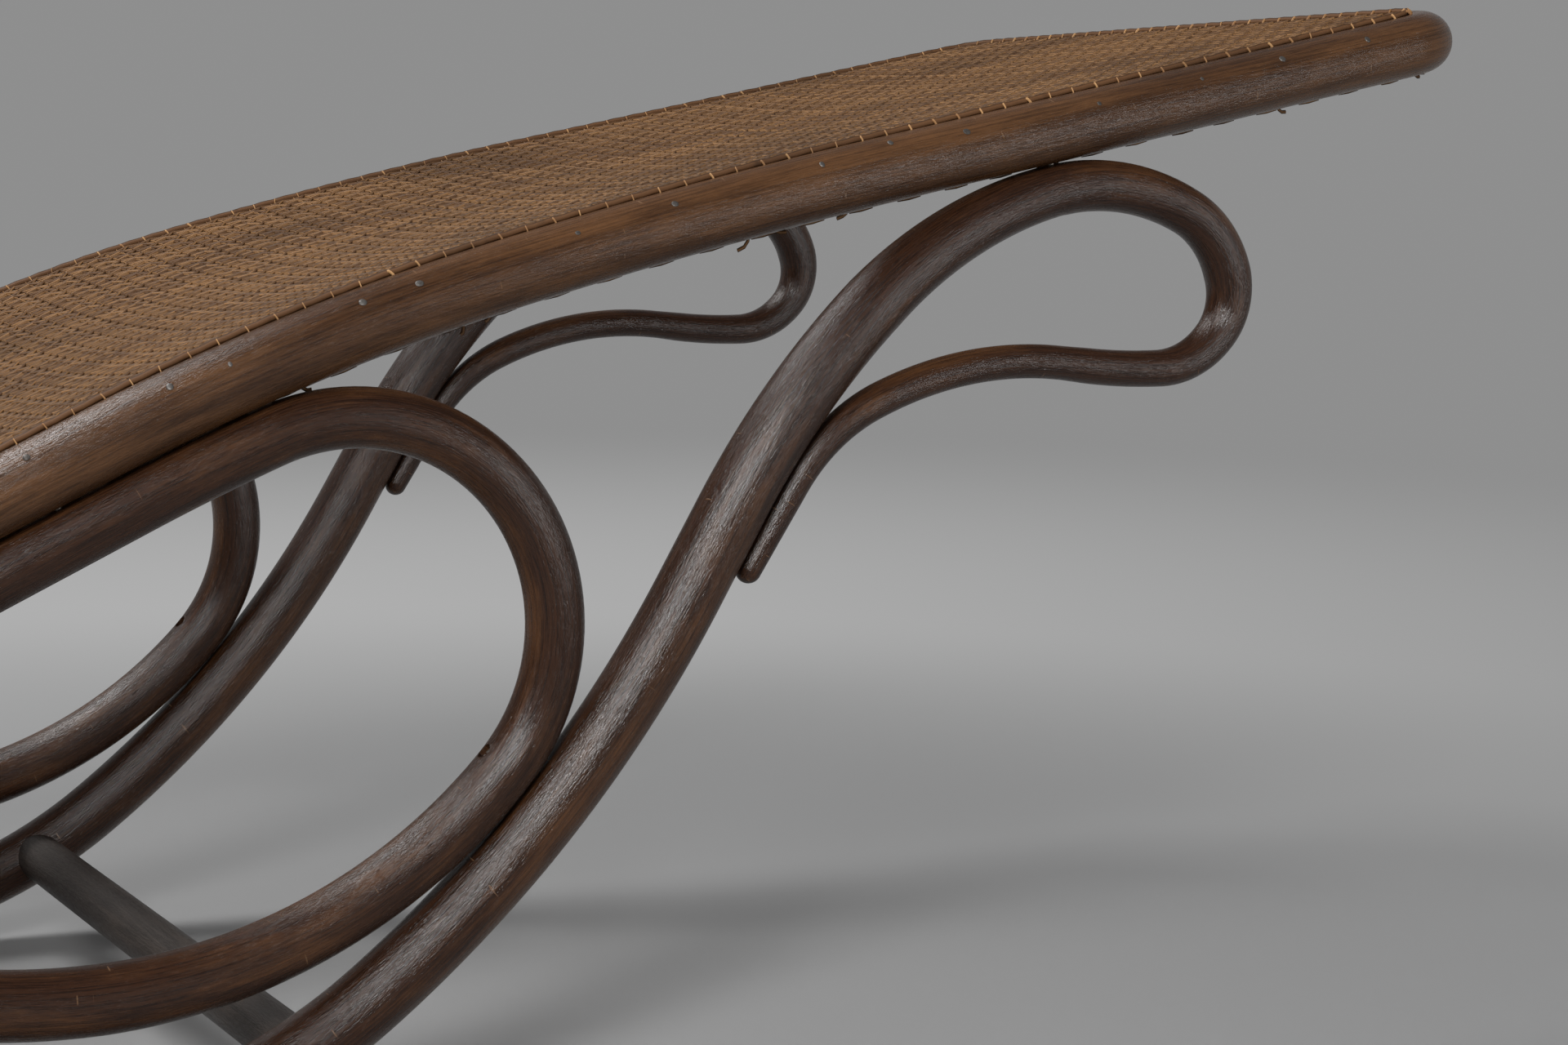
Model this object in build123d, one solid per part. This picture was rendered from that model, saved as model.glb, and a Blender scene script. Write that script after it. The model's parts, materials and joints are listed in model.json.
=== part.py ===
from build123d import *
import math
import os
from collections import namedtuple

# Bentwood rocking chaise with a caned seat and an adjustable caned back.
# Millimetres, +Z up, +X towards the foot, +Y to the sitter's left, floor at Z = 0.
# The origin lies on the floor, midway between the points where the two runners touch it.

# Width and common clearances
frame_width = 550.0          # between the middle planes of the two side frames
seat_gap = 0.3               # between bent members that lie against each other
bore_clearance = 0.2         # on the radius, round bolts, tenons and screws

# Runner, from its lowest point forwards
runner_thick = 39.5
base_radius = 620.0
base_rise = 10.0             # degrees from the lowest point to the toe
toe_radius = 322.0           # sets how far the shoulder stands ahead of the lowest point
toe_rise = 26.0
shin_radius = 710.0
shin_rise = 23.0
# Ear at the foot end of the runner, and the tail that laps back onto the runner
ear_bends = [                # radius, degrees to the right, thickness at the end of the bend
    (510.0, 16.5, 38.5),
    (272.0, 28.0, 31.5),
    (148.0, 41.5, 29.0),
    (61.0, 47.5, 29.0),
    (40.0, 57.0, 25.5),
    (57.0, 48.0, 22.5),
    (400.0, 7.5, 21.5),
]
bump_radius = 250.0
bump_turn = 30.0
bump_thick = 20.4
tail_radius = 120.0
tail_thick = 17.5
tail_lap = 56.0
tail_tip = 15.0
tail_screw_share = 0.6       # how far along the lap its screw stands
# Runner, from its lowest point backwards
heel_rise = 8.0
rear_radius = 1800.0
rear_rise = 16.0
upturn_radius = 195.0
rear_tip = 16.0
rear_lap_turn = 38.0         # degrees that the runner's end follows the arm's rear bend

# Seat rail
rail_thick = 38.0
knee_ahead = 323.0           # from the runner's shoulder to the end of the rail's straight foot stretch
knee_above = 445.3
foot_slope = 11.5
foot_run = 382.0
foot_corner = 32.0           # radius of the rail's centre line at the foot corners
knee_bends = [(3700.0, 4.0), (1350.0, 9.5)]
thigh_run = 247.0
hip_radius = 300.0
pivot_behind = 18.0          # from the end of the hip bend to the pivot of the back
rail_behind = 34.0           # from the pivot to the middle of the rail's round end
hip_rail_thick = 32.0
hip_rail_from_bolt = 8.0     # clear of the nut that holds arm and rail together
tenon_thick = 18.0
tenon_length = 20.0

# Side scroll, the oval between rail and runner
scroll_thick = 33.0
scroll_low_thick = 37.0
scroll_nose = 117.0
scroll_low_radius = 310.0
scroll_rise_radius = 380.0
scroll_thick_until = 26.0    # degrees of the rising bend that keep the full thickness
scroll_tip = 12.0
scroll_under_run = 120.0     # straight stretch under the rail
scroll_screw_share = 0.68    # how far along that stretch its screw stands
scroll_taper = 70.0          # tapering end behind that stretch
scroll_taper_lean = 7.0      # degrees by which that end leans to the rail
scroll_taper_radius = 120.0  # bend between the two

# Arm
arm_thick = 32.0
arm_tip = 14.0
arm_start = 22.0             # degrees up the scroll's rising bend
arm_full = 44.0
arm_lean = 65.0
arm_height = 225.0           # of the arm's level stretch over the hip
arm_front_radius = 160.0
arm_rear_radius = 100.0
arm_lap_turn = 42.0          # degrees that the arm follows the runner's upturn

# Stretchers between the runners
stretcher_thick = 31.0
front_stretcher_back = 49.0  # along the runner from its shoulder towards the floor
rear_stretcher_turn = 10.0   # degrees of the rear bend

# Back, measured from its pivot
back_angle = 45.0            # from level
back_length = 690.0
back_thick = 32.0
back_width = 470.0           # between the middles of its side rails
back_corner = 60.0
back_rail_from_pivot = 75.0
back_rail_thick = 26.0
back_tenon_thick = 15.0
back_tenon_length = 16.0

# Cane panels
cane_thick = 2.0
seat_cane_inset = 6.0        # from the rail's centre line to the edge of the cane
back_cane_inset = 6.0
seat_sag = 18.0
back_sag = 10.0
end_sag = 0.2
cane_stations = 13
# Open grid of the cane, far coarser than the weave it stands for
cane_margin = 14.0           # unbroken strip along the edges
cane_bar = 22.0              # strip between two openings
seat_net_rows = 14
seat_net_columns = 7
back_net_rows = 7
back_net_columns = 6

# Quadrants, slotted iron arcs that clamp the back
quadrant_radius = 300.0
quadrant_wide = 36.0
quadrant_thick = 3.0
quadrant_above = 28.0        # degrees from the back's own line to the middle of the upper end
quadrant_below = 30.0
slot_wide = 8.6
slot_end_wall = 3.2          # degrees between the slot's end and the quadrant's end
spacer_long = 11.0
spacer_thick = 8.0
spacer_apart = 24.0

# Bolts, washers and nuts
pivot_bolt_thick = 10.0
pivot_head_wide = 19.0
pivot_head_thick = 4.5
pivot_nut_wide = 17.0
pivot_nut_thick = 8.0
washer_thick = 2.0
washer_rim = 6.0
clamp_bolt_thick = 8.0
clamp_head_wide = 15.0
clamp_head_thick = 4.6
bush_wide = 16.0
spot_face = 2.0              # depth of the flats under heads and washers
spot_rim = 3.0               # of a flat past the head or washer on it
arm_bolt_thick = 6.0
arm_bolt_head = 14.0
arm_nut_wide = 11.0
arm_nut_thick = 5.0
nut_gap = 0.3
wing_hub = 13.0
wing_hub_thick = 9.0
wing_reach = 19.0
wing_thick = 3.0
wing_lift = 7.0
wing_taper = 1.0             # of the hub's radius towards its top
wing_root_share = 0.8        # of the hub's height that the wings' roots reach
bolt_proud = 3.0             # of a bolt's end past its nut

# Countersunk wood screws
screw_thick = 4.4
screw_head = 8.6
screw_head_deep = 2.6
screw_bite = 16.0            # depth in the second member
screw_sunk = 3.5             # depth of the head under the surface
screw_slot = 1.1

Leg = namedtuple("Leg", "radius turn length thick")
Station = namedtuple("Station", "x z heading")


def bend(radius, turn, thick):
    """A leg of a path that turns by so many degrees, to the left if positive."""
    return Leg(radius, turn, 0.0, thick)


def run(length, thick):
    """A straight leg of a path."""
    return Leg(0.0, 0.0, length, thick)


def aim(angle):
    """The unit vector at an angle in the side view."""
    return math.cos(math.radians(angle)), math.sin(math.radians(angle))


def advance(station, leg, share=1.0):
    """The station at the end of a leg, or at a share of it."""
    cos_a, sin_a = aim(station.heading)
    if leg.turn == 0.0:
        return Station(
            station.x + share * leg.length * cos_a,
            station.z + share * leg.length * sin_a,
            station.heading,
        )
    side = math.copysign(leg.radius, leg.turn)
    heading = station.heading + share * leg.turn
    cos_b, sin_b = aim(heading)
    return Station(station.x + side * (sin_b - sin_a), station.z + side * (cos_a - cos_b), heading)


def trace(station, legs):
    """The stations at the start of a path and at the end of each leg."""
    stations = [station]
    for leg in legs:
        stations.append(advance(stations[-1], leg))
    return stations


def leg_length(leg):
    """The length of a leg along its centre line."""
    return leg.length if leg.turn == 0.0 else leg.radius * math.radians(abs(leg.turn))


def station_along(station, legs, distance):
    """The station so far along a path. A negative distance runs straight out behind its start."""
    if distance < 0:
        return advance(station, run(distance, 0.0))
    for leg in legs:
        if distance <= leg_length(leg):
            return advance(station, leg, distance / leg_length(leg))
        distance -= leg_length(leg)
        station = advance(station, leg)
    return station


def evenly(first, last, count):
    """So many even distances from the first to the last."""
    return [first + (last - first) * index / (count - 1) for index in range(count)]


def bend_centre(station, leg):
    """The centre of the bend that starts at a station."""
    cos_a, sin_a = aim(station.heading)
    side = math.copysign(leg.radius, leg.turn)
    return station.x - side * sin_a, station.z + side * cos_a


def across(vector, angle):
    """How far a vector reaches to the left of a line at an angle."""
    cos_a, sin_a = aim(angle)
    return vector[1] * cos_a - vector[0] * sin_a


def between(start, end):
    """The vector from one place to another in the side view."""
    return end[0] - start[0], end[1] - start[1]


def circles_meet(first, first_radius, second, second_radius, left):
    """Where two circles meet, on the left or the right of the line from the first centre to the second."""
    dx, dz = between(first, second)
    apart = math.hypot(dx, dz)
    along = (apart ** 2 + first_radius ** 2 - second_radius ** 2) / (2 * apart)
    off = math.sqrt(first_radius ** 2 - along ** 2) * (1 if left else -1)
    return (
        first[0] + (along * dx - off * dz) / apart,
        first[1] + (along * dz + off * dx) / apart,
    )


def point(place, y):
    """A place of the side view, in space."""
    return Vector(place[0], y, place[1])


def ring(station, y, thick):
    """The round section of a rod at a station."""
    cos_a, sin_a = aim(station.heading)
    plane = Plane(origin=point(station, y), x_dir=(0, 1, 0), z_dir=(cos_a, 0, sin_a))
    return plane * Circle(thick / 2)


def leg_edge(station, leg, y):
    """The centre line of one leg."""
    end = advance(station, leg)
    if leg.turn == 0.0:
        return Line(point(station, y), point(end, y))
    middle = advance(station, leg, 0.5)
    return ThreePointArc(point(station, y), point(middle, y), point(end, y))


def bent_rod(station, legs, thick, y):
    """A round rod bent along legs in one upright plane, tapered from leg to leg."""
    rod = Part()
    for leg in legs:
        path = leg_edge(station, leg, y)
        end = advance(station, leg)
        first = ring(station, y, thick)
        if leg.thick == thick:
            rod += sweep(first, path=path)
        else:
            rod += sweep([first, ring(end, y, leg.thick)], path=path, multisection=True)
        station, thick = end, leg.thick
    return rod


def ball(place, y, thick):
    """A round end for a rod."""
    return Pos(*point(place, y)) * Sphere(thick / 2)


def cross_rod(place, y_from, y_to, thick):
    """A round rod across the chaise."""
    plane = Plane(origin=point(place, y_from), x_dir=(1, 0, 0), z_dir=(0, 1, 0))
    return extrude(plane * Circle(thick / 2), amount=y_to - y_from)


def tenoned_rod(place, shoulder, thick, tenon, length):
    """A round cross bar with a tenon at each end."""
    return cross_rod(place, -shoulder, shoulder, thick) + cross_rod(
        place, -shoulder - length, shoulder + length, tenon
    )


def mirrored(shape):
    """The same piece on the right-hand side."""
    return mirror(shape, about=Plane.XZ)


def both_sides(shape):
    """A piece and its mirror image."""
    return [shape, mirrored(shape)]


def wood_screw(plane, length, clearance=0.0, sink=0.0):
    """A countersunk screw driven along a plane's -Z, or with a clearance and a sink, its hole."""
    shank = Cylinder(screw_thick / 2 + clearance, length, align=(Align.CENTER, Align.CENTER, Align.MAX))
    head = Pos(0, 0, -screw_head_deep / 2) * Cone(
        screw_thick / 2 + clearance, screw_head / 2 + clearance, screw_head_deep
    )
    screw = shank + head
    if sink:
        screw += Cylinder(screw_head / 2 + clearance, sink, align=(Align.CENTER, Align.CENTER, Align.MIN))
    else:
        screw -= Box(screw_head * 2, screw_slot, screw_slot * 2)
    return plane * screw


def screw_plane(place, y, out):
    """The plane of a screw's head in the side view, with its axis along the outward direction."""
    return Plane(origin=point(place, y), x_dir=(0, 1, 0), z_dir=(out[0], 0, out[1]))


def shifted(place, direction, distance):
    """A place moved along a direction of the side view."""
    return place[0] + direction[0] * distance, place[1] + direction[1] * distance


def cane_panel(planes, half_width, height, sag):
    """A thin woven panel through cross sections that hang between the two side rails."""
    sections = []
    last = len(planes) - 1
    for index, plane in enumerate(planes):
        dip = end_sag + (sag - end_sag) * math.sin(math.pi * index / last)
        outline = []
        for level in (height, height + cane_thick):
            outline.append(ThreePointArc((-half_width, level), (0, level - dip), (half_width, level)))
        for edge in (-half_width, half_width):
            outline.append(Line((edge, height), (edge, height + cane_thick)))
        sections.append(plane * make_face(outline))
    return loft(sections)


def open_grid(panel, planes, spacing, columns, half_width, height, sag):
    """A panel with a row of openings about each plane, through its thickness."""
    pitch = 2 * (half_width - cane_margin) / columns
    reach = 2 * (sag + cane_thick)
    cutters = []
    for plane in planes:
        for column in range(columns):
            offset = (column - (columns - 1) / 2) * pitch
            cutter = Box(pitch - cane_bar, reach, spacing - cane_bar)
            cutters.append(plane * Pos(offset, height, 0) * cutter)
    return panel - cutters


def rounded_corners(panel, far_end, radius):
    """A panel with the two corners at its far end rounded in plan."""
    upright_edges = panel.edges().sort_by(SortBy.LENGTH)[0:4]
    return fillet(upright_edges.sort_by_distance(far_end)[0:2], radius)


def arc_band(radius, start, span, wide):
    """A flat band along an arc, with round ends."""
    outline = []
    for offset in (-wide / 2, wide / 2):
        outline.append(CenterArc((0, 0), radius + offset, start, span))
    for end, cap_start in ((start, start + 180.0), (start + span, start + span)):
        cos_a, sin_a = aim(end)
        outline.append(CenterArc((radius * cos_a, radius * sin_a), wide / 2, cap_start, 180.0))
    return make_face(outline)


def hex_nut(place, seat, wide, thick, bore):
    """A six-sided nut whose outer face lies at a seat, with its bore."""
    plane = Plane(origin=point(place, seat), x_dir=(1, 0, 0), z_dir=(0, -1, 0))
    nut = extrude(plane * RegularPolygon(wide / 2, 6, major_radius=False), amount=thick)
    return nut - cross_rod(place, 0, seat, bore)


# The runner from the floor to the foot of the ear
half_width = frame_width / 2
runner_low = Station(0.0, runner_thick / 2, 0.0)
base_leg = bend(base_radius, base_rise, runner_thick)
toe_leg = bend(toe_radius, toe_rise, runner_thick)
shin_leg = bend(shin_radius, shin_rise, runner_thick)
toe = advance(runner_low, base_leg)
shoulder = advance(toe, toe_leg)
shin_end = advance(shoulder, shin_leg)
shin_centre = bend_centre(shoulder, shin_leg)

# The seat rail, from the end of its straight foot stretch to the hip
knee = Station(shoulder.x + knee_ahead, shoulder.z + knee_above, 180.0 + foot_slope)
knee_legs = [bend(radius, turn, rail_thick) for radius, turn in knee_bends]
thigh_start = trace(knee, knee_legs)[-1]
thigh_leg = run(thigh_run, rail_thick)
hip_leg = bend(hip_radius, 180.0 - thigh_start.heading, rail_thick)
hip_start = advance(thigh_start, thigh_leg)
hip = advance(hip_start, hip_leg)
hip_centre = bend_centre(hip_start, hip_leg)
pivot = (hip.x - pivot_behind, hip.z)
rail_legs = knee_legs + [thigh_leg, hip_leg, run(pivot_behind + rail_behind, rail_thick)]

# The ear: the runner's straight stretch brings its top up under the rail
ear_legs = [bend(radius, -turn, thick) for radius, turn, thick in ear_bends]
top_station, ear_thick = shin_end, runner_thick
for top_leg in ear_legs:
    if top_station.heading + top_leg.turn < foot_slope:
        break
    top_station, ear_thick = advance(top_station, top_leg), top_leg.thick
top_share = (foot_slope - top_station.heading) / top_leg.turn
ear_top = advance(top_station, top_leg, top_share)
ear_top_thick = ear_thick + (top_leg.thick - ear_thick) * top_share
ear_drop = rail_thick / 2 + ear_top_thick / 2 + seat_gap
ear_lift = across(between(ear_top, knee), foot_slope) - ear_drop
straight_run = ear_lift / across(aim(shin_end.heading), foot_slope)
ear_top = shifted(ear_top, aim(shin_end.heading), straight_run)
straight_leg = run(straight_run, runner_thick)

# The tail: the run under the ear's bump brings it onto the front of the runner
tail_lean = math.degrees(math.atan((tail_thick - tail_tip) / 2 / tail_lap))
ear_stations = trace(shin_end, [straight_leg] + ear_legs)
ear_end = ear_stations[-1]
bump_leg = bend(bump_radius, bump_turn, bump_thick)
tail_turn = shin_end.heading - 180.0 - tail_lean - ear_end.heading - bump_turn
tail_bend_leg = bend(tail_radius, tail_turn, tail_thick)
bump_end = trace(ear_end, [bump_leg, tail_bend_leg])[-1]
tail_off = runner_thick / 2 + tail_thick / 2 + seat_gap
tail_lift = tail_off + across(between(shin_end, bump_end), shin_end.heading)
bump_run = -tail_lift / across(aim(ear_end.heading), shin_end.heading)
bump_run_leg = run(bump_run, bump_thick)
tail_leg = run(tail_lap, tail_tip)
ear_path = [straight_leg] + ear_legs + [bump_run_leg, bump_leg, tail_bend_leg, tail_leg]
front_legs = [base_leg, toe_leg, shin_leg] + ear_path
front_stations = trace(runner_low, front_legs)
tail_start, tail_end = front_stations[-2], front_stations[-1]

# The runner's rear, which turns up to meet the arm
rear_low = Station(runner_low.x, runner_low.z, 180.0)
heel_leg = bend(base_radius, -heel_rise, runner_thick)
rear_leg = bend(rear_radius, -rear_rise, runner_thick)
upturn_leg = bend(upturn_radius, heel_rise + rear_rise - 90.0, arm_thick)
rear_stations = trace(rear_low, [heel_leg, rear_leg, upturn_leg])
upturn = rear_stations[-1]

# The scroll: under the rail, round its nose to touch the runner, and up to the hip
scroll_under = rail_thick / 2 + scroll_thick / 2 + seat_gap
scroll_over = runner_thick / 2 + scroll_thick / 2 + seat_gap
thigh_bend_start = trace(knee, knee_legs)[-2]
thigh_centre = bend_centre(thigh_bend_start, knee_legs[-1])
rail_track = knee_legs[-1].radius - scroll_under
runner_track = shin_radius - scroll_over
nose_centre = circles_meet(
    thigh_centre, rail_track - scroll_nose, shin_centre, runner_track - scroll_nose, left=False
)
nose_from = math.degrees(math.atan2(*reversed(between(thigh_centre, nose_centre)))) - 90.0
nose_to = math.degrees(math.atan2(*reversed(between(shin_centre, nose_centre)))) - 90.0
scroll_heading = thigh_start.heading - 180.0
scroll_bend_start = shifted(thigh_start, aim(scroll_heading - 90.0), scroll_under)
scroll_run_start = shifted(scroll_bend_start, aim(scroll_heading), -scroll_under_run)
scroll_root_thick = scroll_thick - 2 * scroll_taper_radius * (1 - aim(scroll_taper_lean)[0])
scroll_front_tip = scroll_root_thick - 2 * scroll_taper * math.tan(math.radians(scroll_taper_lean))
taper_legs = [run(scroll_taper, scroll_root_thick), bend(scroll_taper_radius, scroll_taper_lean, scroll_thick)]
taper_heading = scroll_heading - scroll_taper_lean
taper_end = trace(Station(0.0, 0.0, taper_heading), taper_legs)[-1]
scroll_start = Station(scroll_run_start[0] - taper_end.x, scroll_run_start[1] - taper_end.z, taper_heading)
scroll_run_leg = run(scroll_under_run, scroll_thick)
scroll_legs = taper_legs + [
    scroll_run_leg,
    bend(rail_track, nose_from - scroll_heading, scroll_thick),
    bend(scroll_nose, nose_to - nose_from, scroll_thick),
    bend(scroll_low_radius, -180.0 - nose_to, scroll_low_thick),
]
scroll_low = trace(scroll_start, scroll_legs)[-1]
rise_centre = (scroll_low.x, scroll_low.z + scroll_rise_radius)
hip_under = hip_radius + (rail_thick + scroll_tip) / 2 + seat_gap
scroll_end = circles_meet(rise_centre, scroll_rise_radius, hip_centre, hip_under, left=True)
scroll_turn = math.degrees(math.asin((rise_centre[0] - scroll_end[0]) / scroll_rise_radius))
scroll_legs += [
    bend(scroll_rise_radius, -scroll_thick_until, scroll_low_thick),
    bend(scroll_rise_radius, scroll_thick_until - scroll_turn, scroll_tip),
]

# Where the arm, which carries the scroll's rise on, crosses the rail, and the hip rail ahead of it
cross_turn = math.degrees(math.acos((rise_centre[1] - hip.z) / scroll_rise_radius))
cross_place = advance(scroll_low, bend(scroll_rise_radius, -cross_turn, 0.0))
arm_nut_corner = arm_nut_wide / math.sqrt(3.0)
hip_rail_x = cross_place.x + arm_nut_corner + hip_rail_from_bolt + hip_rail_thick / 2

# The arm: up past the rail, level, and down behind to the runner
arm_y = half_width + max(rail_thick, runner_thick) / 2 + arm_thick / 2 + seat_gap
arm_first = advance(scroll_low, bend(scroll_rise_radius, -arm_start, arm_tip))
arm_post = advance(scroll_low, bend(scroll_rise_radius, -arm_lean, arm_thick))
post_heading = 180.0 - arm_lean
arm_level = hip.z + arm_height
post_rise = arm_level - arm_post.z - arm_front_radius * (1 - aim(arm_lean)[0])
post_run = post_rise / aim(post_heading)[1]
arm_front_legs = [
    bend(scroll_rise_radius, arm_start - arm_full, arm_thick),
    bend(scroll_rise_radius, arm_full - arm_lean, arm_thick),
    run(post_run, arm_thick),
    bend(arm_front_radius, arm_lean, arm_thick),
]
arm_rest = trace(arm_first, arm_front_legs)[-1]
rest_run = arm_rest.x - arm_rear_radius - upturn.x
arm_drop = arm_level - arm_rear_radius - upturn.z
arm_legs = arm_front_legs + [
    run(rest_run, arm_thick),
    bend(arm_rear_radius, 90.0, arm_thick),
    run(arm_drop, arm_thick),
    bend(upturn_radius, arm_lap_turn, arm_tip),
]
rear_legs = [
    heel_leg,
    rear_leg,
    upturn_leg,
    run(arm_drop, arm_thick),
    bend(arm_rear_radius, -rear_lap_turn, rear_tip),
]

# The back, in its own plane: along it from the pivot, across it, and out of its face
back_aim = aim(180.0 - back_angle)
back_plane = Plane(
    origin=point(pivot, 0), x_dir=(back_aim[0], 0, back_aim[1]), z_dir=(back_aim[1], 0, -back_aim[0])
)
back_half = back_width / 2
rail_inner = half_width - rail_thick / 2
back_outer = back_half + back_thick / 2

# The clamp: the quadrant's middle arc crosses the level of the arm
clamp_rise = arm_level - pivot[1]
clamp = (pivot[0] - math.sqrt(quadrant_radius ** 2 - clamp_rise ** 2), arm_level)
quadrant_inner = back_outer + spacer_long
quadrant_outer = quadrant_inner + quadrant_thick
arm_outer = arm_y + arm_thick / 2
clamp_seat = arm_outer - spot_face
nut_seat = clamp_seat + washer_thick

nodes = {}

# Bent members of the side frames
front_rod = bent_rod(runner_low, front_legs, runner_thick, half_width)
runner = front_rod + bent_rod(rear_low, rear_legs, runner_thick, half_width)
runner += ball(tail_end, half_width, tail_tip)
runner += ball(trace(rear_low, rear_legs)[-1], half_width, rear_tip)
scroll = bent_rod(scroll_start, scroll_legs, scroll_front_tip, half_width)
scroll += ball(scroll_start, half_width, scroll_front_tip)
scroll += ball(scroll_end, half_width, scroll_tip)
arm_end = trace(arm_first, arm_legs)[-1]
arm = bent_rod(arm_first, arm_legs, arm_tip, arm_y)
arm += ball(arm_first, arm_y, arm_tip)
arm += ball(arm_end, arm_y, arm_tip)

# Seat rail: one side, the foot corner and half of the foot bar
side_rail = bent_rod(knee, rail_legs, rail_thick, half_width)
rail_end = trace(knee, rail_legs)[-1]
side_rail += ball(rail_end, half_width, rail_thick)
foot_heading = Station(knee.x, knee.z, foot_slope)
foot_leg = run(foot_run, rail_thick)
foot_start = advance(foot_heading, foot_leg)
side_rail += bent_rod(foot_heading, [foot_leg], rail_thick, half_width)
foot_aim = aim(foot_slope)
corner_cos, corner_sin = aim(45.0)
corner_middle = shifted(foot_start, foot_aim, foot_corner * corner_sin)
foot_bar = shifted(foot_start, foot_aim, foot_corner)
corner_path = ThreePointArc(
    point(foot_start, half_width),
    point(corner_middle, half_width - foot_corner * (1 - corner_cos)),
    point(foot_bar, half_width - foot_corner),
)
side_rail += sweep(ring(foot_start, half_width, rail_thick), path=corner_path)
side_rail += cross_rod(foot_bar, 0, half_width - foot_corner, rail_thick)

# Cross bars
hip_rail_turn = math.degrees(math.asin((hip_rail_x - hip.x) / hip_radius))
hip_bar = advance(hip_start, hip_leg, (hip_leg.turn + hip_rail_turn) / hip_leg.turn)
front_bar = advance(toe, toe_leg, 1 - math.degrees(front_stretcher_back / toe_radius) / toe_rise)
rear_bar = advance(rear_stations[1], rear_leg, rear_stretcher_turn / rear_rise)
tenon_bore = tenon_thick + 2 * bore_clearance
runner_shoulder = half_width - runner_thick / 2 - seat_gap
hip_shoulder = rail_inner - seat_gap
nodes["hip_rail"] = tenoned_rod(hip_bar, hip_shoulder, hip_rail_thick, tenon_thick, tenon_length)
nodes["front_stretcher"] = tenoned_rod(front_bar, runner_shoulder, stretcher_thick, tenon_thick, tenon_length)
nodes["rear_stretcher"] = tenoned_rod(rear_bar, runner_shoulder, stretcher_thick, tenon_thick, tenon_length)
for bar in (front_bar, rear_bar):
    runner -= cross_rod(bar, 0, runner_shoulder + tenon_length + bore_clearance, tenon_bore)
side_rail -= cross_rod(hip_bar, 0, hip_shoulder + tenon_length + bore_clearance, tenon_bore)

# Screws up through the ear into the rail
rail_up = aim(foot_slope + 90.0)
ear_seat = shifted(ear_top, rail_up, screw_sunk - ear_top_thick / 2)
ear_screw_plane = screw_plane(ear_seat, half_width, (-rail_up[0], -rail_up[1]))
ear_screw_long = ear_top_thick - screw_sunk + seat_gap + screw_bite
nodes["ear_screws"] = both_sides(wood_screw(ear_screw_plane, ear_screw_long))
ear_hole = wood_screw(ear_screw_plane, ear_screw_long + bore_clearance, bore_clearance, screw_sunk * 2)
runner -= ear_hole
side_rail -= ear_hole

# Screws up through the scroll into the rail, and through the scroll into the runner
scroll_screws = []
scroll_run_at = scroll_legs.index(scroll_run_leg)
scroll_stations = trace(scroll_start, scroll_legs)
rail_screw_place = advance(scroll_stations[scroll_run_at], scroll_run_leg, scroll_screw_share)
thigh_up = aim(scroll_heading + 90.0)
runner_screw_place = scroll_stations[scroll_run_at + 3]
runner_out = aim(runner_screw_place.heading + 90.0)
scroll_screw_long = scroll_thick - screw_sunk + seat_gap + screw_bite
scroll_hole_long = scroll_screw_long + bore_clearance
for place, drive, member in (
    (rail_screw_place, thigh_up, "rail"),
    (runner_screw_place, runner_out, "runner"),
):
    head = shifted(place, drive, screw_sunk - scroll_thick / 2)
    plane = screw_plane(head, half_width, (-drive[0], -drive[1]))
    scroll_screws += both_sides(wood_screw(plane, scroll_screw_long))
    hole = wood_screw(plane, scroll_hole_long, bore_clearance, screw_sunk * 2)
    scroll -= hole
    if member == "rail":
        side_rail -= hole
    else:
        runner -= hole
nodes["scroll_screws"] = scroll_screws

# Screws through the tails into the runners
tail_place = advance(tail_start, tail_leg, tail_screw_share)
tail_here = tail_thick + (tail_tip - tail_thick) * tail_screw_share
tail_drive = aim(shin_end.heading + 90.0)
tail_head = shifted(tail_place, tail_drive, screw_sunk / 2 - tail_here / 2)
tail_plane = screw_plane(tail_head, half_width, (-tail_drive[0], -tail_drive[1]))
tail_screw_long = tail_here + screw_bite
nodes["tail_screws"] = both_sides(wood_screw(tail_plane, tail_screw_long))
runner -= wood_screw(tail_plane, tail_screw_long + bore_clearance, bore_clearance, screw_sunk)

# Screws through the arm's laps, driven from outside
lap_screws = []
front_lap = advance(scroll_low, bend(scroll_rise_radius, -(arm_start + scroll_turn) / 2, 0.0))
rear_lap = advance(upturn, run(arm_drop / 2, 0.0))
lap_head_y = arm_outer - screw_sunk
lap_screw_long = arm_thick - screw_sunk + screw_bite
for place in (front_lap, rear_lap):
    plane = Plane(origin=point(place, lap_head_y), x_dir=(1, 0, 0), z_dir=(0, 1, 0))
    lap_screws += both_sides(wood_screw(plane, lap_screw_long))
    hole = wood_screw(plane, lap_screw_long + bore_clearance, bore_clearance, screw_sunk * 2)
    arm -= hole
    scroll -= hole
    runner -= hole
nodes["lap_screws"] = lap_screws

# Bolts through arm and rail where they cross
arm_nut_seat = rail_inner + spot_face
arm_bolt_low = arm_nut_seat - arm_nut_thick - bolt_proud
arm_bolt = cross_rod(cross_place, arm_bolt_low, clamp_seat, arm_bolt_thick)
arm_bolt += cross_rod(cross_place, clamp_seat, clamp_seat + spot_face, arm_bolt_head)
nodes["arm_bolts"] = both_sides(arm_bolt)
arm_bore = arm_bolt_thick + 2 * bore_clearance
nodes["arm_nuts"] = both_sides(hex_nut(cross_place, arm_nut_seat, arm_nut_wide, arm_nut_thick, arm_bore))
arm_bolt_hole = cross_rod(cross_place, 0, arm_outer, arm_bore)
arm -= arm_bolt_hole
arm -= cross_rod(cross_place, clamp_seat, arm_outer + spot_face, arm_bolt_head + 2 * spot_rim)
side_rail -= arm_bolt_hole
side_rail -= cross_rod(cross_place, 0, arm_nut_seat, arm_nut_wide + 2 * spot_rim)

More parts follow.
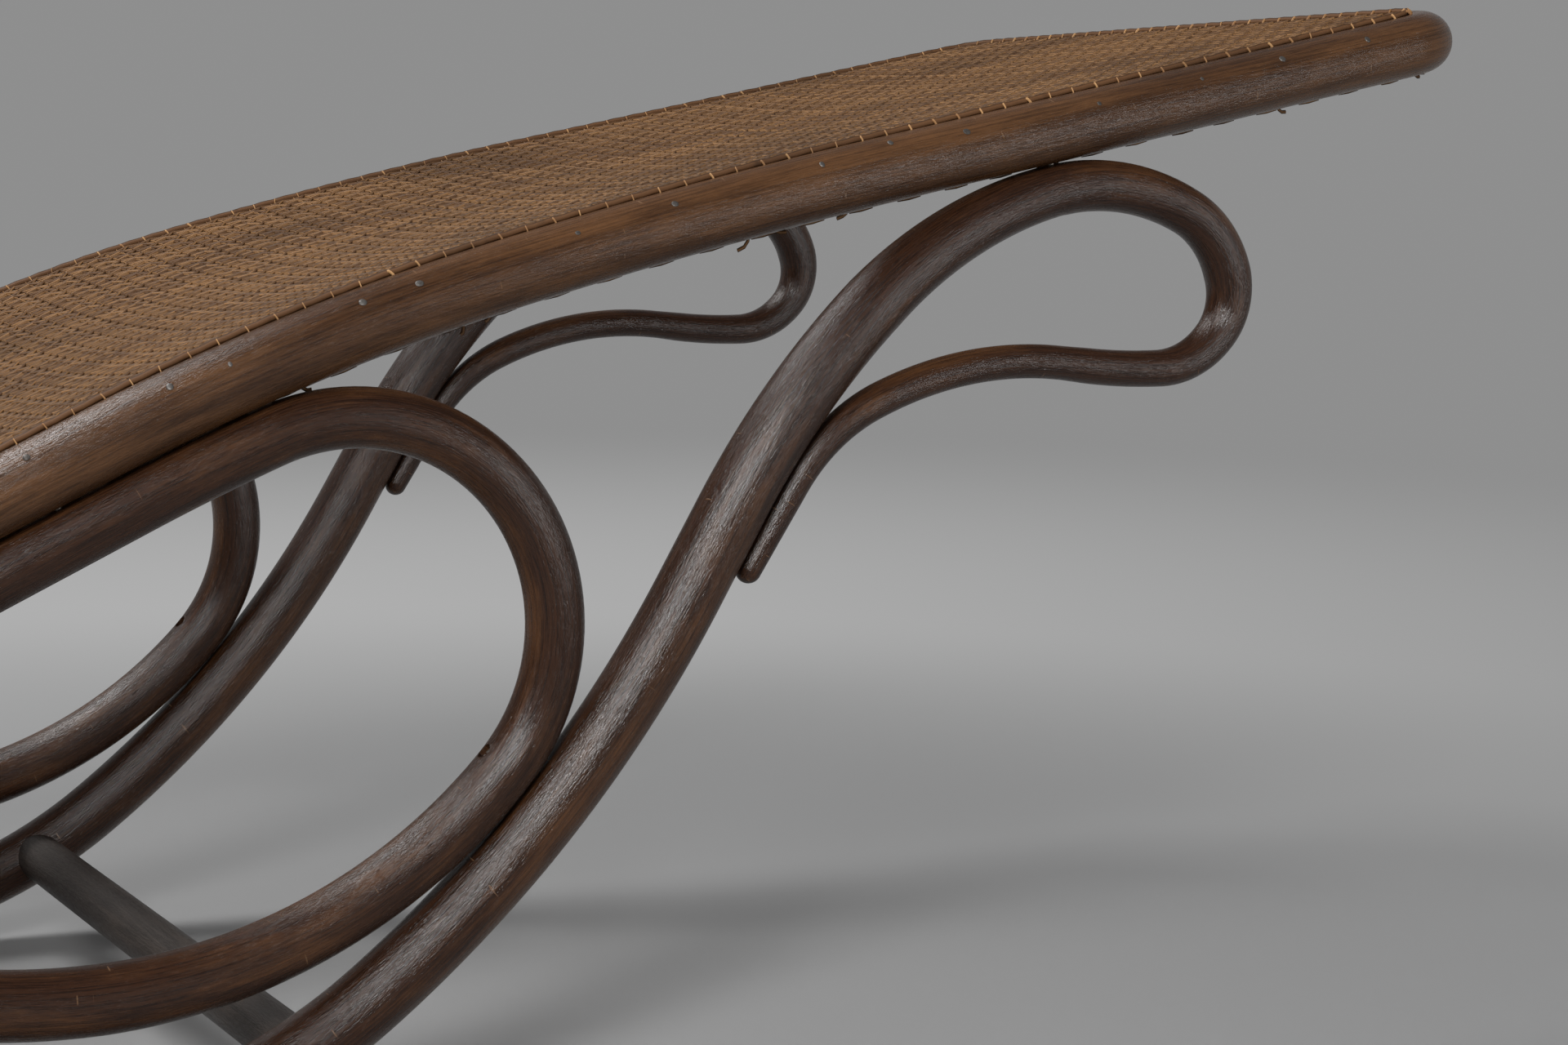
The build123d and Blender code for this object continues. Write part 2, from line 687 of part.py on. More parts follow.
# The back's frame, rail and cane
back_outline = FilletPolyline(
    (0, -back_half), (back_length, -back_half), (back_length, back_half), (0, back_half), radius=back_corner
)
back_path = back_plane * back_outline
back_section = Plane(origin=back_path @ 0, z_dir=back_path % 0) * Circle(back_thick / 2)
back_frame = sweep(back_section, path=back_path)
for side in (-back_half, back_half):
    back_frame += ball(pivot, side, back_thick)
back_rail_place = shifted(pivot, back_aim, back_rail_from_pivot)
back_shoulder = back_half - back_thick / 2 - seat_gap
nodes["back_rail"] = tenoned_rod(
    back_rail_place, back_shoulder, back_rail_thick, back_tenon_thick, back_tenon_length
)
back_tenon_reach = back_shoulder + back_tenon_length + bore_clearance
back_frame -= cross_rod(
    back_rail_place, -back_tenon_reach, back_tenon_reach, back_tenon_thick + 2 * bore_clearance
)
pivot_bore = pivot_bolt_thick + 2 * bore_clearance
back_frame -= cross_rod(pivot, -half_width, half_width, pivot_bore)

back_cane_level = math.sqrt((back_thick / 2) ** 2 - back_cane_inset ** 2) + seat_gap
back_cane_first = back_rail_from_pivot - back_rail_thick / 4
back_cane_last = back_length - back_cane_inset


def back_section(reach):
    """The plane across the back at a distance from the pivot."""
    return back_plane * Plane(origin=(reach, 0, 0), x_dir=(0, 1, 0), z_dir=(1, 0, 0))


back_cane_half = back_half - back_cane_inset
back_cane_planes = [back_section(reach) for reach in evenly(back_cane_first, back_cane_last, cane_stations)]
back_cane = cane_panel(back_cane_planes, back_cane_half, back_cane_level, back_sag)
back_far_end = back_plane * Pos(back_length, 0, 0) * Vertex(0, 0, 0)
back_cane = rounded_corners(back_cane, back_far_end, back_corner - back_cane_inset)
back_net_pitch = (back_cane_last - back_cane_first - 2 * cane_margin) / back_net_rows
back_net_first = back_cane_first + cane_margin + back_net_pitch / 2
back_net_last = back_cane_last - cane_margin - back_net_pitch / 2
back_net_planes = [back_section(reach) for reach in evenly(back_net_first, back_net_last, back_net_rows)]
nodes["back_cane"] = open_grid(
    back_cane, back_net_planes, back_net_pitch, back_net_columns, back_cane_half, back_cane_level, back_sag
)

# The seat's cane, from the foot bar to the hip rail
seat_legs = [foot_leg] + rail_legs
seat_first = Station(*foot_start[:2], 180.0 + foot_slope)
seat_cane_level = math.sqrt((rail_thick / 2) ** 2 - seat_cane_inset ** 2) + seat_gap
seat_cane_first = seat_cane_inset - foot_corner
hip_turn_left = abs(hip_leg.turn) - hip_rail_turn
seat_cane_last = sum(leg_length(leg) for leg in [foot_leg] + knee_legs + [thigh_leg])
seat_cane_last += hip_radius * math.radians(hip_turn_left) - hip_rail_thick / 4


def seat_section(distance):
    """The plane across the seat at a distance along its rail."""
    place = station_along(seat_first, seat_legs, distance)
    cos_a, sin_a = aim(place.heading)
    return Plane(origin=point(place, 0), x_dir=(0, 1, 0), z_dir=(-cos_a, 0, -sin_a))


seat_cane_half = half_width - seat_cane_inset
seat_cane_planes = [seat_section(reach) for reach in evenly(seat_cane_first, seat_cane_last, cane_stations)]
seat_cane = cane_panel(seat_cane_planes, seat_cane_half, seat_cane_level, seat_sag)
seat_far_end = Vertex(*point(foot_bar, 0))
seat_cane = rounded_corners(seat_cane, seat_far_end, foot_corner - seat_cane_inset)
seat_net_pitch = (seat_cane_last - seat_cane_first - 2 * cane_margin) / seat_net_rows
seat_net_first = seat_cane_first + cane_margin + seat_net_pitch / 2
seat_net_last = seat_cane_last - cane_margin - seat_net_pitch / 2
seat_net_planes = [seat_section(reach) for reach in evenly(seat_net_first, seat_net_last, seat_net_rows)]
nodes["seat_cane"] = open_grid(
    seat_cane, seat_net_planes, seat_net_pitch, seat_net_columns, seat_cane_half, seat_cane_level, seat_sag
)

# Pivot bolts: head outside the rail, nut inside the back's frame
pivot_head_seat = half_width + rail_thick / 2 - spot_face
pivot_nut_seat = back_half - back_thick / 2 - seat_gap
pivot_bolt_end = pivot_nut_seat - pivot_nut_thick - bolt_proud
pivot_bolt = cross_rod(pivot, pivot_bolt_end, pivot_head_seat, pivot_bolt_thick)
pivot_bolt += cross_rod(pivot, pivot_head_seat, pivot_head_seat + pivot_head_thick, pivot_head_wide)
nodes["pivot_bolts"] = both_sides(pivot_bolt)
side_rail -= cross_rod(pivot, 0, frame_width, pivot_bore)
side_rail -= cross_rod(pivot, pivot_head_seat, frame_width, pivot_head_wide + 2 * spot_rim)
pivot_washer = cross_rod(pivot, back_outer + seat_gap, rail_inner, pivot_bolt_thick + 2 * washer_rim)
nodes["pivot_washers"] = both_sides(pivot_washer - cross_rod(pivot, 0, half_width, pivot_bore))
nodes["pivot_nuts"] = both_sides(hex_nut(pivot, pivot_nut_seat, pivot_nut_wide, pivot_nut_thick, pivot_bore))

# Quadrants, with spacers and screws to the back's side rails
quadrant_plane = Plane(origin=point(pivot, quadrant_outer), x_dir=(1, 0, 0), z_dir=(0, -1, 0))
quadrant_line = 180.0 - back_angle
quadrant_from = quadrant_line - quadrant_above
quadrant_span = quadrant_above + quadrant_below
slot_span = quadrant_span - 2 * slot_end_wall
quadrant_face = arc_band(quadrant_radius, quadrant_from, quadrant_span, quadrant_wide)
quadrant_face -= arc_band(quadrant_radius, quadrant_from + slot_end_wall, slot_span, slot_wide)
quadrant = extrude(quadrant_plane * quadrant_face, amount=quadrant_thick)
spacers = []
quadrant_screws = []
quadrant_screw_long = quadrant_thick + spacer_long + screw_bite
for offset in (-spacer_apart / 2, spacer_apart / 2):
    place = shifted(pivot, back_aim, quadrant_radius + offset)
    screw_at = Plane(origin=point(place, quadrant_outer), x_dir=(1, 0, 0), z_dir=(0, 1, 0))
    quadrant_screws += both_sides(wood_screw(screw_at, quadrant_screw_long))
    hole = wood_screw(screw_at, quadrant_screw_long + bore_clearance, bore_clearance, bore_clearance)
    spacer = cross_rod(place, back_outer, quadrant_inner, spacer_thick)
    spacers += both_sides(spacer - hole)
    quadrant -= hole
    for drilled in both_sides(hole):
        back_frame -= drilled
nodes["quadrant_left"] = quadrant
nodes["quadrant_right"] = mirrored(quadrant)
nodes["quadrant_spacers"] = spacers
nodes["quadrant_screws"] = quadrant_screws

# Clamps on the arms: bolt through the slot, bush, washer and wing nut
clamp_head_inner = quadrant_inner - seat_gap - clamp_head_thick
clamp_bolt = cross_rod(clamp, clamp_head_inner, clamp_head_inner + clamp_head_thick, clamp_head_wide)
clamp_bolt_end = nut_seat + nut_gap + wing_hub_thick + bolt_proud
clamp_bolt += cross_rod(clamp, clamp_head_inner, clamp_bolt_end, clamp_bolt_thick)
clamp_bore = clamp_bolt_thick + 2 * bore_clearance
clamp_clear = cross_rod(clamp, 0, frame_width, clamp_bore)
bush = cross_rod(clamp, quadrant_outer + seat_gap, arm_y, bush_wide) - clamp_clear
arm_clear = arm_thick + 2 * bore_clearance
saddle_start = Station(clamp[0] - bush_wide, arm_level, 0.0)
bush -= bent_rod(saddle_start, [run(2 * bush_wide, arm_clear)], arm_clear, arm_y)
clamp_washer_wide = clamp_bolt_thick + 2 * washer_rim
washer = cross_rod(clamp, clamp_seat, nut_seat, clamp_washer_wide) - clamp_clear
arm -= clamp_clear
arm -= cross_rod(clamp, clamp_seat, arm_outer + spot_face, clamp_washer_wide + 2 * spot_rim)

nut_face = Plane(origin=point(clamp, nut_seat + nut_gap), x_dir=(1, 0, 0), z_dir=(0, 1, 0))
hub_half = wing_hub / 2
hub = Cone(
    hub_half, hub_half - wing_taper, wing_hub_thick, align=(Align.CENTER, Align.CENTER, Align.MIN)
)
wing_rise = wing_hub_thick + wing_lift
wing_root = wing_hub_thick * wing_root_share
wing_hollow = (hub_half + wing_taper, wing_rise * wing_root_share)
wing_outline = make_face(
    [
        Line((0, 0), (hub_half, 0)),
        ThreePointArc((hub_half, 0), (wing_reach, wing_rise / 2), (wing_reach, wing_rise)),
        ThreePointArc((wing_reach, wing_rise), wing_hollow, (0, wing_root)),
        Line((0, wing_root), (0, 0)),
    ]
)
wing = extrude(Plane.XZ * wing_outline, amount=wing_thick / 2, both=True)
wing_nut = hub + wing + Rot(0, 0, 180) * wing
wing_nut = nut_face * wing_nut - clamp_clear

nodes["clamp_bolt_left"] = clamp_bolt
nodes["clamp_bolt_right"] = mirrored(clamp_bolt)
nodes["clamp_bush_left"] = bush
nodes["clamp_bush_right"] = mirrored(bush)
nodes["clamp_washers"] = both_sides(washer)
nodes["wing_nut_left"] = wing_nut
nodes["wing_nut_right"] = mirrored(wing_nut)

nodes["seat_frame"] = side_rail + mirrored(side_rail)
nodes["back_frame"] = back_frame
nodes["runner_left"] = runner
nodes["runner_right"] = mirrored(runner)
nodes["side_scroll_left"] = scroll
nodes["side_scroll_right"] = mirrored(scroll)
nodes["arm_left"] = arm
nodes["arm_right"] = mirrored(arm)

os.makedirs("parts", exist_ok=True)
for name, shape in nodes.items():
    pieces = shape if isinstance(shape, list) else [shape]
    solids = [solid for piece in pieces for solid in piece.solids()]
    whole = Compound(children=solids) if len(solids) > 1 else solids[0]
    export_step(whole, os.path.join("parts", name + ".step"))
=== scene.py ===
import json
import logging
import math
from dataclasses import dataclass, field
from enum import Enum
from typing import Any, Iterable, Sequence

import bmesh
import bpy
import numpy as np
from mathutils import Matrix, Vector


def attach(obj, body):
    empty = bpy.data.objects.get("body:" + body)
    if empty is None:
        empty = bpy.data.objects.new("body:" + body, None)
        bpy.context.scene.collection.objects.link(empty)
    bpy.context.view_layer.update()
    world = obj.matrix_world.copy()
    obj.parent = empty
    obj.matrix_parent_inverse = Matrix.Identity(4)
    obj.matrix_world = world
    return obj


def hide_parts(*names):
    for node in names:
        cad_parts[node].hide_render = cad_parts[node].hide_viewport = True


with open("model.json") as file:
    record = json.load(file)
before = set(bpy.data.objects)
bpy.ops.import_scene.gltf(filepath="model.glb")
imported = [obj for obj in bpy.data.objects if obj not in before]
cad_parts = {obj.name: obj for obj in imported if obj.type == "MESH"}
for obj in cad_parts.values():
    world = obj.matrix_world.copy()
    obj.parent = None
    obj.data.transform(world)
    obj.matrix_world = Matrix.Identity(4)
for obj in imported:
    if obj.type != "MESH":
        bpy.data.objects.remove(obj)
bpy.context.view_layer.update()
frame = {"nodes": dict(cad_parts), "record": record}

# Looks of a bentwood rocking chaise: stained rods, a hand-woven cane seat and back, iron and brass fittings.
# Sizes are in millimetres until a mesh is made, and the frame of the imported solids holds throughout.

LOG = logging.getLogger("chaise")
MM = 0.001
Colour = tuple[float, float, float]
Place = tuple[float, float]
Band = tuple[float, float]
Socket = bpy.types.NodeSocket


def linked(name: str, data: Any) -> bpy.types.Object:
    """A new object of the scene."""
    made = bpy.data.objects.new(name, data)
    bpy.context.scene.collection.objects.link(made)
    return made


def evaluated(carrier: bpy.types.Object, name: str) -> bpy.types.Mesh:
    """The plain mesh of an object after its modifiers."""
    seen = bpy.context.evaluated_depsgraph_get()
    mesh = bpy.data.meshes.new_from_object(carrier.evaluated_get(seen))
    mesh.name = name
    return mesh


class Side(Enum):
    """The two sides of the chaise, with the sign of their Y."""

    LEFT = 1
    RIGHT = -1

    @property
    def word(self) -> str:
        """The side's name as the solids spell it."""
        return self.name.lower()


class Strand(Enum):
    """The courses of a caned panel."""

    ALONG = "along"
    ACROSS = "across"
    SLANT_UP = "slant_up"
    SLANT_DOWN = "slant_down"
    EDGE = "edge"
    TIES = "ties"
    UNDER = "under"


# Paths of the bent rods

@dataclass(frozen=True)
class Leg:
    """One stretch of a rod: a bend, or a straight run where the turn is zero."""

    radius: float
    turn: float
    length: float
    thick: float

    @property
    def reach(self) -> float:
        """The length along the centre line."""
        return self.length if self.turn == 0.0 else self.radius * math.radians(abs(self.turn))


@dataclass(frozen=True)
class Station:
    """A place in the side view and the way a rod runs there, in degrees."""

    x: float
    z: float
    heading: float

    @property
    def place(self) -> Place:
        """The place alone."""
        return self.x, self.z

    def after(self, leg: Leg, share: float = 1.0) -> "Station":
        """The station at a share of a leg that starts here.

        Args:
            leg: The stretch to follow.
            share: How much of it to follow.

        Returns:
            The station there.
        """
        cos_a, sin_a = aim(self.heading)
        if leg.turn == 0.0:
            step = share * leg.length
            return Station(self.x + step * cos_a, self.z + step * sin_a, self.heading)
        side = math.copysign(leg.radius, leg.turn)
        heading = self.heading + share * leg.turn
        cos_b, sin_b = aim(heading)
        return Station(self.x + side * (sin_b - sin_a), self.z + side * (cos_a - cos_b), heading)

    def follow(self, legs: Iterable[Leg]) -> "Station":
        """The station at the end of several legs."""
        station = self
        for leg in legs:
            station = station.after(leg)
        return station


def aim(angle: float) -> Place:
    """The unit vector at an angle in the side view."""
    return math.cos(math.radians(angle)), math.sin(math.radians(angle))


def bend(radius: float, turn: float, thick: float) -> Leg:
    """A leg that turns by so many degrees, to the left if positive."""
    return Leg(radius, turn, 0.0, thick)


def run(length: float, thick: float) -> Leg:
    """A straight leg."""
    return Leg(0.0, 0.0, length, thick)


def shifted(place: Place, direction: Place, distance: float) -> Place:
    """A place moved along a direction of the side view."""
    return place[0] + direction[0] * distance, place[1] + direction[1] * distance


def between(start: Place, end: Place) -> Place:
    """The vector from one place to another."""
    return end[0] - start[0], end[1] - start[1]


def across(vector: Place, angle: float) -> float:
    """How far a vector reaches to the left of a line at an angle."""
    cos_a, sin_a = aim(angle)
    return vector[1] * cos_a - vector[0] * sin_a


def bend_centre(station: Station, leg: Leg) -> Place:
    """The centre of the bend that starts at a station."""
    cos_a, sin_a = aim(station.heading)
    side = math.copysign(leg.radius, leg.turn)
    return station.x - side * sin_a, station.z + side * cos_a


def circles_meet(first: Place, first_radius: float, second: Place, second_radius: float, left: bool) -> Place:
    """Where two circles meet.

    Args:
        first: Centre of the first circle.
        first_radius: Its radius.
        second: Centre of the second circle.
        second_radius: Its radius.
        left: Whether to take the meeting point left of the line from first to second.

    Returns:
        The meeting point.
    """
    dx, dz = between(first, second)
    apart = math.hypot(dx, dz)
    along = (apart**2 + first_radius**2 - second_radius**2) / (2 * apart)
    off = math.sqrt(first_radius**2 - along**2) * (1 if left else -1)
    return first[0] + (along * dx - off * dz) / apart, first[1] + (along * dz + off * dx) / apart


@dataclass(frozen=True)
class Bore:
    """A round hole: its mouth, the way out of it, its radius and its depth."""

    mouth: tuple[float, float, float]
    out: tuple[float, float, float]
    radius: float
    depth: float
    rise: float = 8.0
    facets: int = 28

    def cut_into(self, shape: bmesh.types.BMesh) -> None:
        """Adds the cutter of this hole to a mesh of cutters."""
        out = Vector(self.out)
        middle = (Vector(self.mouth) + out * (self.rise - self.depth) / 2) * MM
        turn = out.to_track_quat("Z", "Y").to_matrix().to_4x4()
        bmesh.ops.create_cone(
            shape, cap_ends=True, segments=self.facets, radius1=self.radius * MM, radius2=self.radius * MM,
            depth=(self.depth + self.rise) * MM, matrix=Matrix.Translation(middle) @ turn,
        )


@dataclass
class RodLine:
    """A rod's centre line as dense points with the rod's radius at each."""

    points: np.ndarray
    radii: np.ndarray

    STEP = 6.0
    TIGHTEST = 40.0
    STEP_PER_RADIUS = 0.05
    DOME_RINGS = 9
    DOME_TIP = 0.02

    @classmethod
    def bent(cls, start: Station, legs: Sequence[Leg], thick: float, y: float) -> "RodLine":
        """A rod bent in one upright plane, tapering evenly along each leg.

        Args:
            start: Where the rod starts.
            legs: Its stretches.
            thick: Its thickness at the start.
            y: The plane it lies in.

        Returns:
            The line.
        """
        points, radii = [(start.x, y, start.z)], [thick / 2]
        station = start
        for leg in legs:
            step = min(cls.STEP, max(leg.radius, cls.TIGHTEST) * cls.STEP_PER_RADIUS)
            count = max(2, math.ceil(leg.reach / step))
            for index in range(1, count + 1):
                here = station.after(leg, index / count)
                points.append((here.x, y, here.z))
                radii.append((thick + (leg.thick - thick) * index / count) / 2)
            station, thick = station.after(leg), leg.thick
        return cls(np.array(points), np.array(radii))

    def joined(self, other: "RodLine") -> "RodLine":
        """This line, then another that starts where this one ends."""
        return RodLine(np.vstack([self.points, other.points[1:]]), np.concatenate([self.radii, other.radii[1:]]))

    def reversed(self) -> "RodLine":
        """The same rod from its other end."""
        return RodLine(self.points[::-1].copy(), self.radii[::-1].copy())

    def rounded(self) -> "RodLine":
        """The rod with half-round ends."""
        return self.reversed()._domed().reversed()._domed()

    def _domed(self) -> "RodLine":
        """The line with a half-round far end."""
        way = self.points[-1] - self.points[-2]
        way = way / np.linalg.norm(way)
        angles = np.linspace(0, math.pi / 2, self.DOME_RINGS + 1)[1:]
        radius = self.radii[-1]
        points = self.points[-1] + np.outer(radius * np.sin(angles), way)
        radii = np.maximum(radius * np.cos(angles), radius * self.DOME_TIP)
        return RodLine(np.vstack([self.points, points]), np.concatenate([self.radii, radii]))


@dataclass
class ChaiseLines:
    """The centre lines of all bent members, from the sizes that drive the solids."""

    frame_width: float = 550.0
    seat_gap: float = 0.3
    runner_thick: float = 39.5
    base_radius: float = 620.0
    base_rise: float = 10.0
    toe_radius: float = 322.0
    toe_rise: float = 26.0
    shin_radius: float = 710.0
    shin_rise: float = 23.0
    ear_bends: tuple = (
        (510.0, 16.5, 38.5), (272.0, 28.0, 31.5), (148.0, 41.5, 29.0), (61.0, 47.5, 29.0),
        (40.0, 57.0, 25.5), (57.0, 48.0, 22.5), (400.0, 7.5, 21.5),
    )
    bump: tuple = (250.0, 30.0, 20.4)
    tail_radius: float = 120.0
    tail_thick: float = 17.5
    tail_lap: float = 56.0
    tail_tip: float = 15.0
    tail_screw_share: float = 0.6
    heel_rise: float = 8.0
    rear_radius: float = 1800.0
    rear_rise: float = 16.0
    upturn_radius: float = 195.0
    rear_tip: float = 16.0
    rear_lap_turn: float = 38.0
    rail_thick: float = 38.0
    knee_ahead: float = 323.0
    knee_above: float = 445.3
    foot_slope: float = 11.5
    foot_run: float = 382.0
    foot_corner: float = 32.0
    knee_bends: tuple = ((3700.0, 4.0), (1350.0, 9.5))
    thigh_run: float = 247.0
    hip_radius: float = 300.0
    pivot_behind: float = 18.0
    rail_behind: float = 34.0
    hip_thick: float = 32.0
    hip_rail_from_bolt: float = 8.0
    arm_nut_wide: float = 11.0
    scroll_thick: float = 33.0
    scroll_low_thick: float = 37.0
    scroll_nose: float = 117.0
    scroll_low_radius: float = 310.0
    scroll_rise_radius: float = 380.0
    scroll_thick_until: float = 26.0
    scroll_tip: float = 12.0
    scroll_under_run: float = 120.0
    scroll_screw_share: float = 0.68
    scroll_taper: float = 70.0
    scroll_taper_lean: float = 7.0
    scroll_taper_radius: float = 120.0
    arm_thick: float = 32.0
    arm_tip: float = 14.0
    arm_start: float = 22.0
    arm_full: float = 44.0
    arm_lean: float = 65.0
    arm_height: float = 225.0
    arm_front_radius: float = 160.0
    arm_rear_radius: float = 100.0
    arm_lap_turn: float = 42.0
    front_stretcher_back: float = 49.0
    rear_stretcher_turn: float = 10.0
    back_angle: float = 45.0
    back_length: float = 690.0
    back_width: float = 470.0
    back_corner: float = 60.0
    back_rail_from_pivot: float = 75.0
    back_thick: float = 32.0
    screw_head: float = 9.0
    screw_sunk: float = 3.5
    head_depth: float = 1.0

    FOOT_CORNER_POINTS = 16
    FOOT_BAR_POINTS = 60
    BACK_SIDE_POINTS = 100
    BACK_CORNER_POINTS = 20
    BACK_HEAD_POINTS = 30
    BAR_POINTS = 80

    def __post_init__(self) -> None:
        """Works out every line in the order in which the members seat on each other."""
        self.half_width = self.frame_width / 2
        self._lay_runner_and_rail()
        self._lay_ear()
        self._lay_scroll()
        self._lay_arm()
        self._lay_bars()

    def _lay_runner_and_rail(self) -> None:
        """The runner up to its shin, its rear, and the seat rail."""
        self.runner_low = Station(0.0, self.runner_thick / 2, 0.0)
        self.base_leg = bend(self.base_radius, self.base_rise, self.runner_thick)
        self.toe_leg = bend(self.toe_radius, self.toe_rise, self.runner_thick)
        self.shin_leg = bend(self.shin_radius, self.shin_rise, self.runner_thick)
        self.toe = self.runner_low.after(self.base_leg)
        self.shoulder = self.toe.after(self.toe_leg)
        self.shin_end = self.shoulder.after(self.shin_leg)
        self.knee = Station(
            self.shoulder.x + self.knee_ahead, self.shoulder.z + self.knee_above, 180.0 + self.foot_slope
        )
        self.knee_legs = [bend(radius, turn, self.rail_thick) for radius, turn in self.knee_bends]
        self.thigh_start = self.knee.follow(self.knee_legs)
        self.thigh_leg = run(self.thigh_run, self.rail_thick)
        self.hip_leg = bend(self.hip_radius, 180.0 - self.thigh_start.heading, self.rail_thick)
        self.hip_start = self.thigh_start.after(self.thigh_leg)
        self.hip = self.hip_start.after(self.hip_leg)
        self.pivot = (self.hip.x - self.pivot_behind, self.hip.z)
        end_run = run(self.pivot_behind + self.rail_behind, self.rail_thick)
        self.rail_legs = self.knee_legs + [self.thigh_leg, self.hip_leg, end_run]
        self.foot_leg = run(self.foot_run, self.rail_thick)
        self.foot_start = Station(*self.knee.place, self.foot_slope).after(self.foot_leg)
        self.seat_start = Station(*self.foot_start.place, 180.0 + self.foot_slope)
        self.seat_legs = [self.foot_leg] + self.rail_legs
        self.foot_bar = shifted(self.foot_start.place, aim(self.foot_slope), self.foot_corner)
        self.rear_low = Station(0.0, self.runner_thick / 2, 180.0)
        self.heel_leg = bend(self.base_radius, -self.heel_rise, self.runner_thick)
        self.rear_leg = bend(self.rear_radius, -self.rear_rise, self.runner_thick)
        upturn_leg = bend(self.upturn_radius, self.heel_rise + self.rear_rise - 90.0, self.arm_thick)
        self.rear_legs = [self.heel_leg, self.rear_leg, upturn_leg]
        self.upturn = self.rear_low.follow(self.rear_legs)

    def _lay_ear(self) -> None:
        """The ear under the rail and the tail that comes back onto the runner."""
        ear_legs = [bend(radius, -turn, thick) for radius, turn, thick in self.ear_bends]
        top, thick = self.shin_end, self.runner_thick
        for leg in ear_legs:
            if top.heading + leg.turn < self.foot_slope:
                break
            top, thick = top.after(leg), leg.thick
        share = (self.foot_slope - top.heading) / leg.turn
        self.ear_top_thick = thick + (leg.thick - thick) * share
        top = top.after(leg, share)
        drop = (self.rail_thick + self.ear_top_thick) / 2 + self.seat_gap
        lift = across(between(top.place, self.knee.place), self.foot_slope) - drop
        straight = run(lift / across(aim(self.shin_end.heading), self.foot_slope), self.runner_thick)
        self.ear_top = shifted(top.place, aim(self.shin_end.heading), straight.length)
        ear_end = self.shin_end.follow([straight] + ear_legs)
        bump_radius, bump_turn, bump_thick = self.bump
        bump_leg = bend(bump_radius, bump_turn, bump_thick)
        lean = math.degrees(math.atan((self.tail_thick - self.tail_tip) / 2 / self.tail_lap))
        tail_turn = self.shin_end.heading - 180.0 - lean - ear_end.heading - bump_turn
        tail_bend = bend(self.tail_radius, tail_turn, self.tail_thick)
        bump_end = ear_end.follow([bump_leg, tail_bend])
        tail_off = (self.runner_thick + self.tail_thick) / 2 + self.seat_gap
        tail_lift = tail_off + across(between(self.shin_end.place, bump_end.place), self.shin_end.heading)
        bump_run = run(-tail_lift / across(aim(ear_end.heading), self.shin_end.heading), bump_thick)
        tail = run(self.tail_lap, self.tail_tip)
        self.tail_mark = ear_end.follow([bump_run, bump_leg, tail_bend]).after(tail, self.tail_screw_share)
        ear_path = [straight] + ear_legs + [bump_run, bump_leg, tail_bend, tail]
        self.front_legs = [self.base_leg, self.toe_leg, self.shin_leg] + ear_path

    def _lay_scroll(self) -> None:
        """The oval between rail and runner."""
        under = (self.rail_thick + self.scroll_thick) / 2 + self.seat_gap
        over = (self.runner_thick + self.scroll_thick) / 2 + self.seat_gap
        thigh_bend = self.knee.after(self.knee_legs[0])
        thigh_centre = bend_centre(thigh_bend, self.knee_legs[1])
        shin_centre = bend_centre(self.shoulder, self.shin_leg)
        rail_track = self.knee_legs[1].radius - under
        nose = circles_meet(
            thigh_centre, rail_track - self.scroll_nose,
            shin_centre, self.shin_radius - over - self.scroll_nose, left=False,
        )
        nose_from = math.degrees(math.atan2(*reversed(between(thigh_centre, nose)))) - 90.0
        nose_to = math.degrees(math.atan2(*reversed(between(shin_centre, nose)))) - 90.0
        heading = self.thigh_start.heading - 180.0
        first = shifted(self.thigh_start.place, aim(heading - 90.0), under)
        run_start = Station(*shifted(first, aim(heading), -self.scroll_under_run), heading)
        root_thick = self.scroll_thick - 2 * self.scroll_taper_radius * (1 - aim(self.scroll_taper_lean)[0])
        self.scroll_front_tip = root_thick - 2 * self.scroll_taper * math.tan(math.radians(self.scroll_taper_lean))
        taper = [
            run(self.scroll_taper, root_thick),
            bend(self.scroll_taper_radius, self.scroll_taper_lean, self.scroll_thick),
        ]
        taper_end = Station(0.0, 0.0, heading - self.scroll_taper_lean).follow(taper)
        self.scroll_start = Station(
            run_start.x - taper_end.x, run_start.z - taper_end.z, heading - self.scroll_taper_lean
        )
        under_leg = run(self.scroll_under_run, self.scroll_thick)
        self.rail_screw = run_start.after(under_leg, self.scroll_screw_share)
        self.scroll_legs = taper + [
            under_leg,
            bend(rail_track, nose_from - heading, self.scroll_thick),
            bend(self.scroll_nose, nose_to - nose_from, self.scroll_thick),
            bend(self.scroll_low_radius, -180.0 - nose_to, self.scroll_low_thick),
        ]
        self.runner_screw = self.scroll_start.follow(self.scroll_legs[:-1])
        self.scroll_low = self.scroll_start.follow(self.scroll_legs)
        rise_centre = (self.scroll_low.x, self.scroll_low.z + self.scroll_rise_radius)
        hip_under = self.hip_radius + (self.rail_thick + self.scroll_tip) / 2 + self.seat_gap
        hip_centre = bend_centre(self.hip_start, self.hip_leg)
        end = circles_meet(rise_centre, self.scroll_rise_radius, hip_centre, hip_under, left=True)
        turn = math.degrees(math.asin((rise_centre[0] - end[0]) / self.scroll_rise_radius))
        self.scroll_legs += [
            bend(self.scroll_rise_radius, -self.scroll_thick_until, self.scroll_low_thick),
            bend(self.scroll_rise_radius, self.scroll_thick_until - turn, self.scroll_tip),
        ]
        self.front_lap = self.scroll_low.after(bend(self.scroll_rise_radius, -(self.arm_start + turn) / 2, 0.0))
        cross_turn = math.degrees(math.acos((rise_centre[1] - self.hip.z) / self.scroll_rise_radius))
        self.arm_cross = self.scroll_low.after(bend(self.scroll_rise_radius, -cross_turn, 0.0))

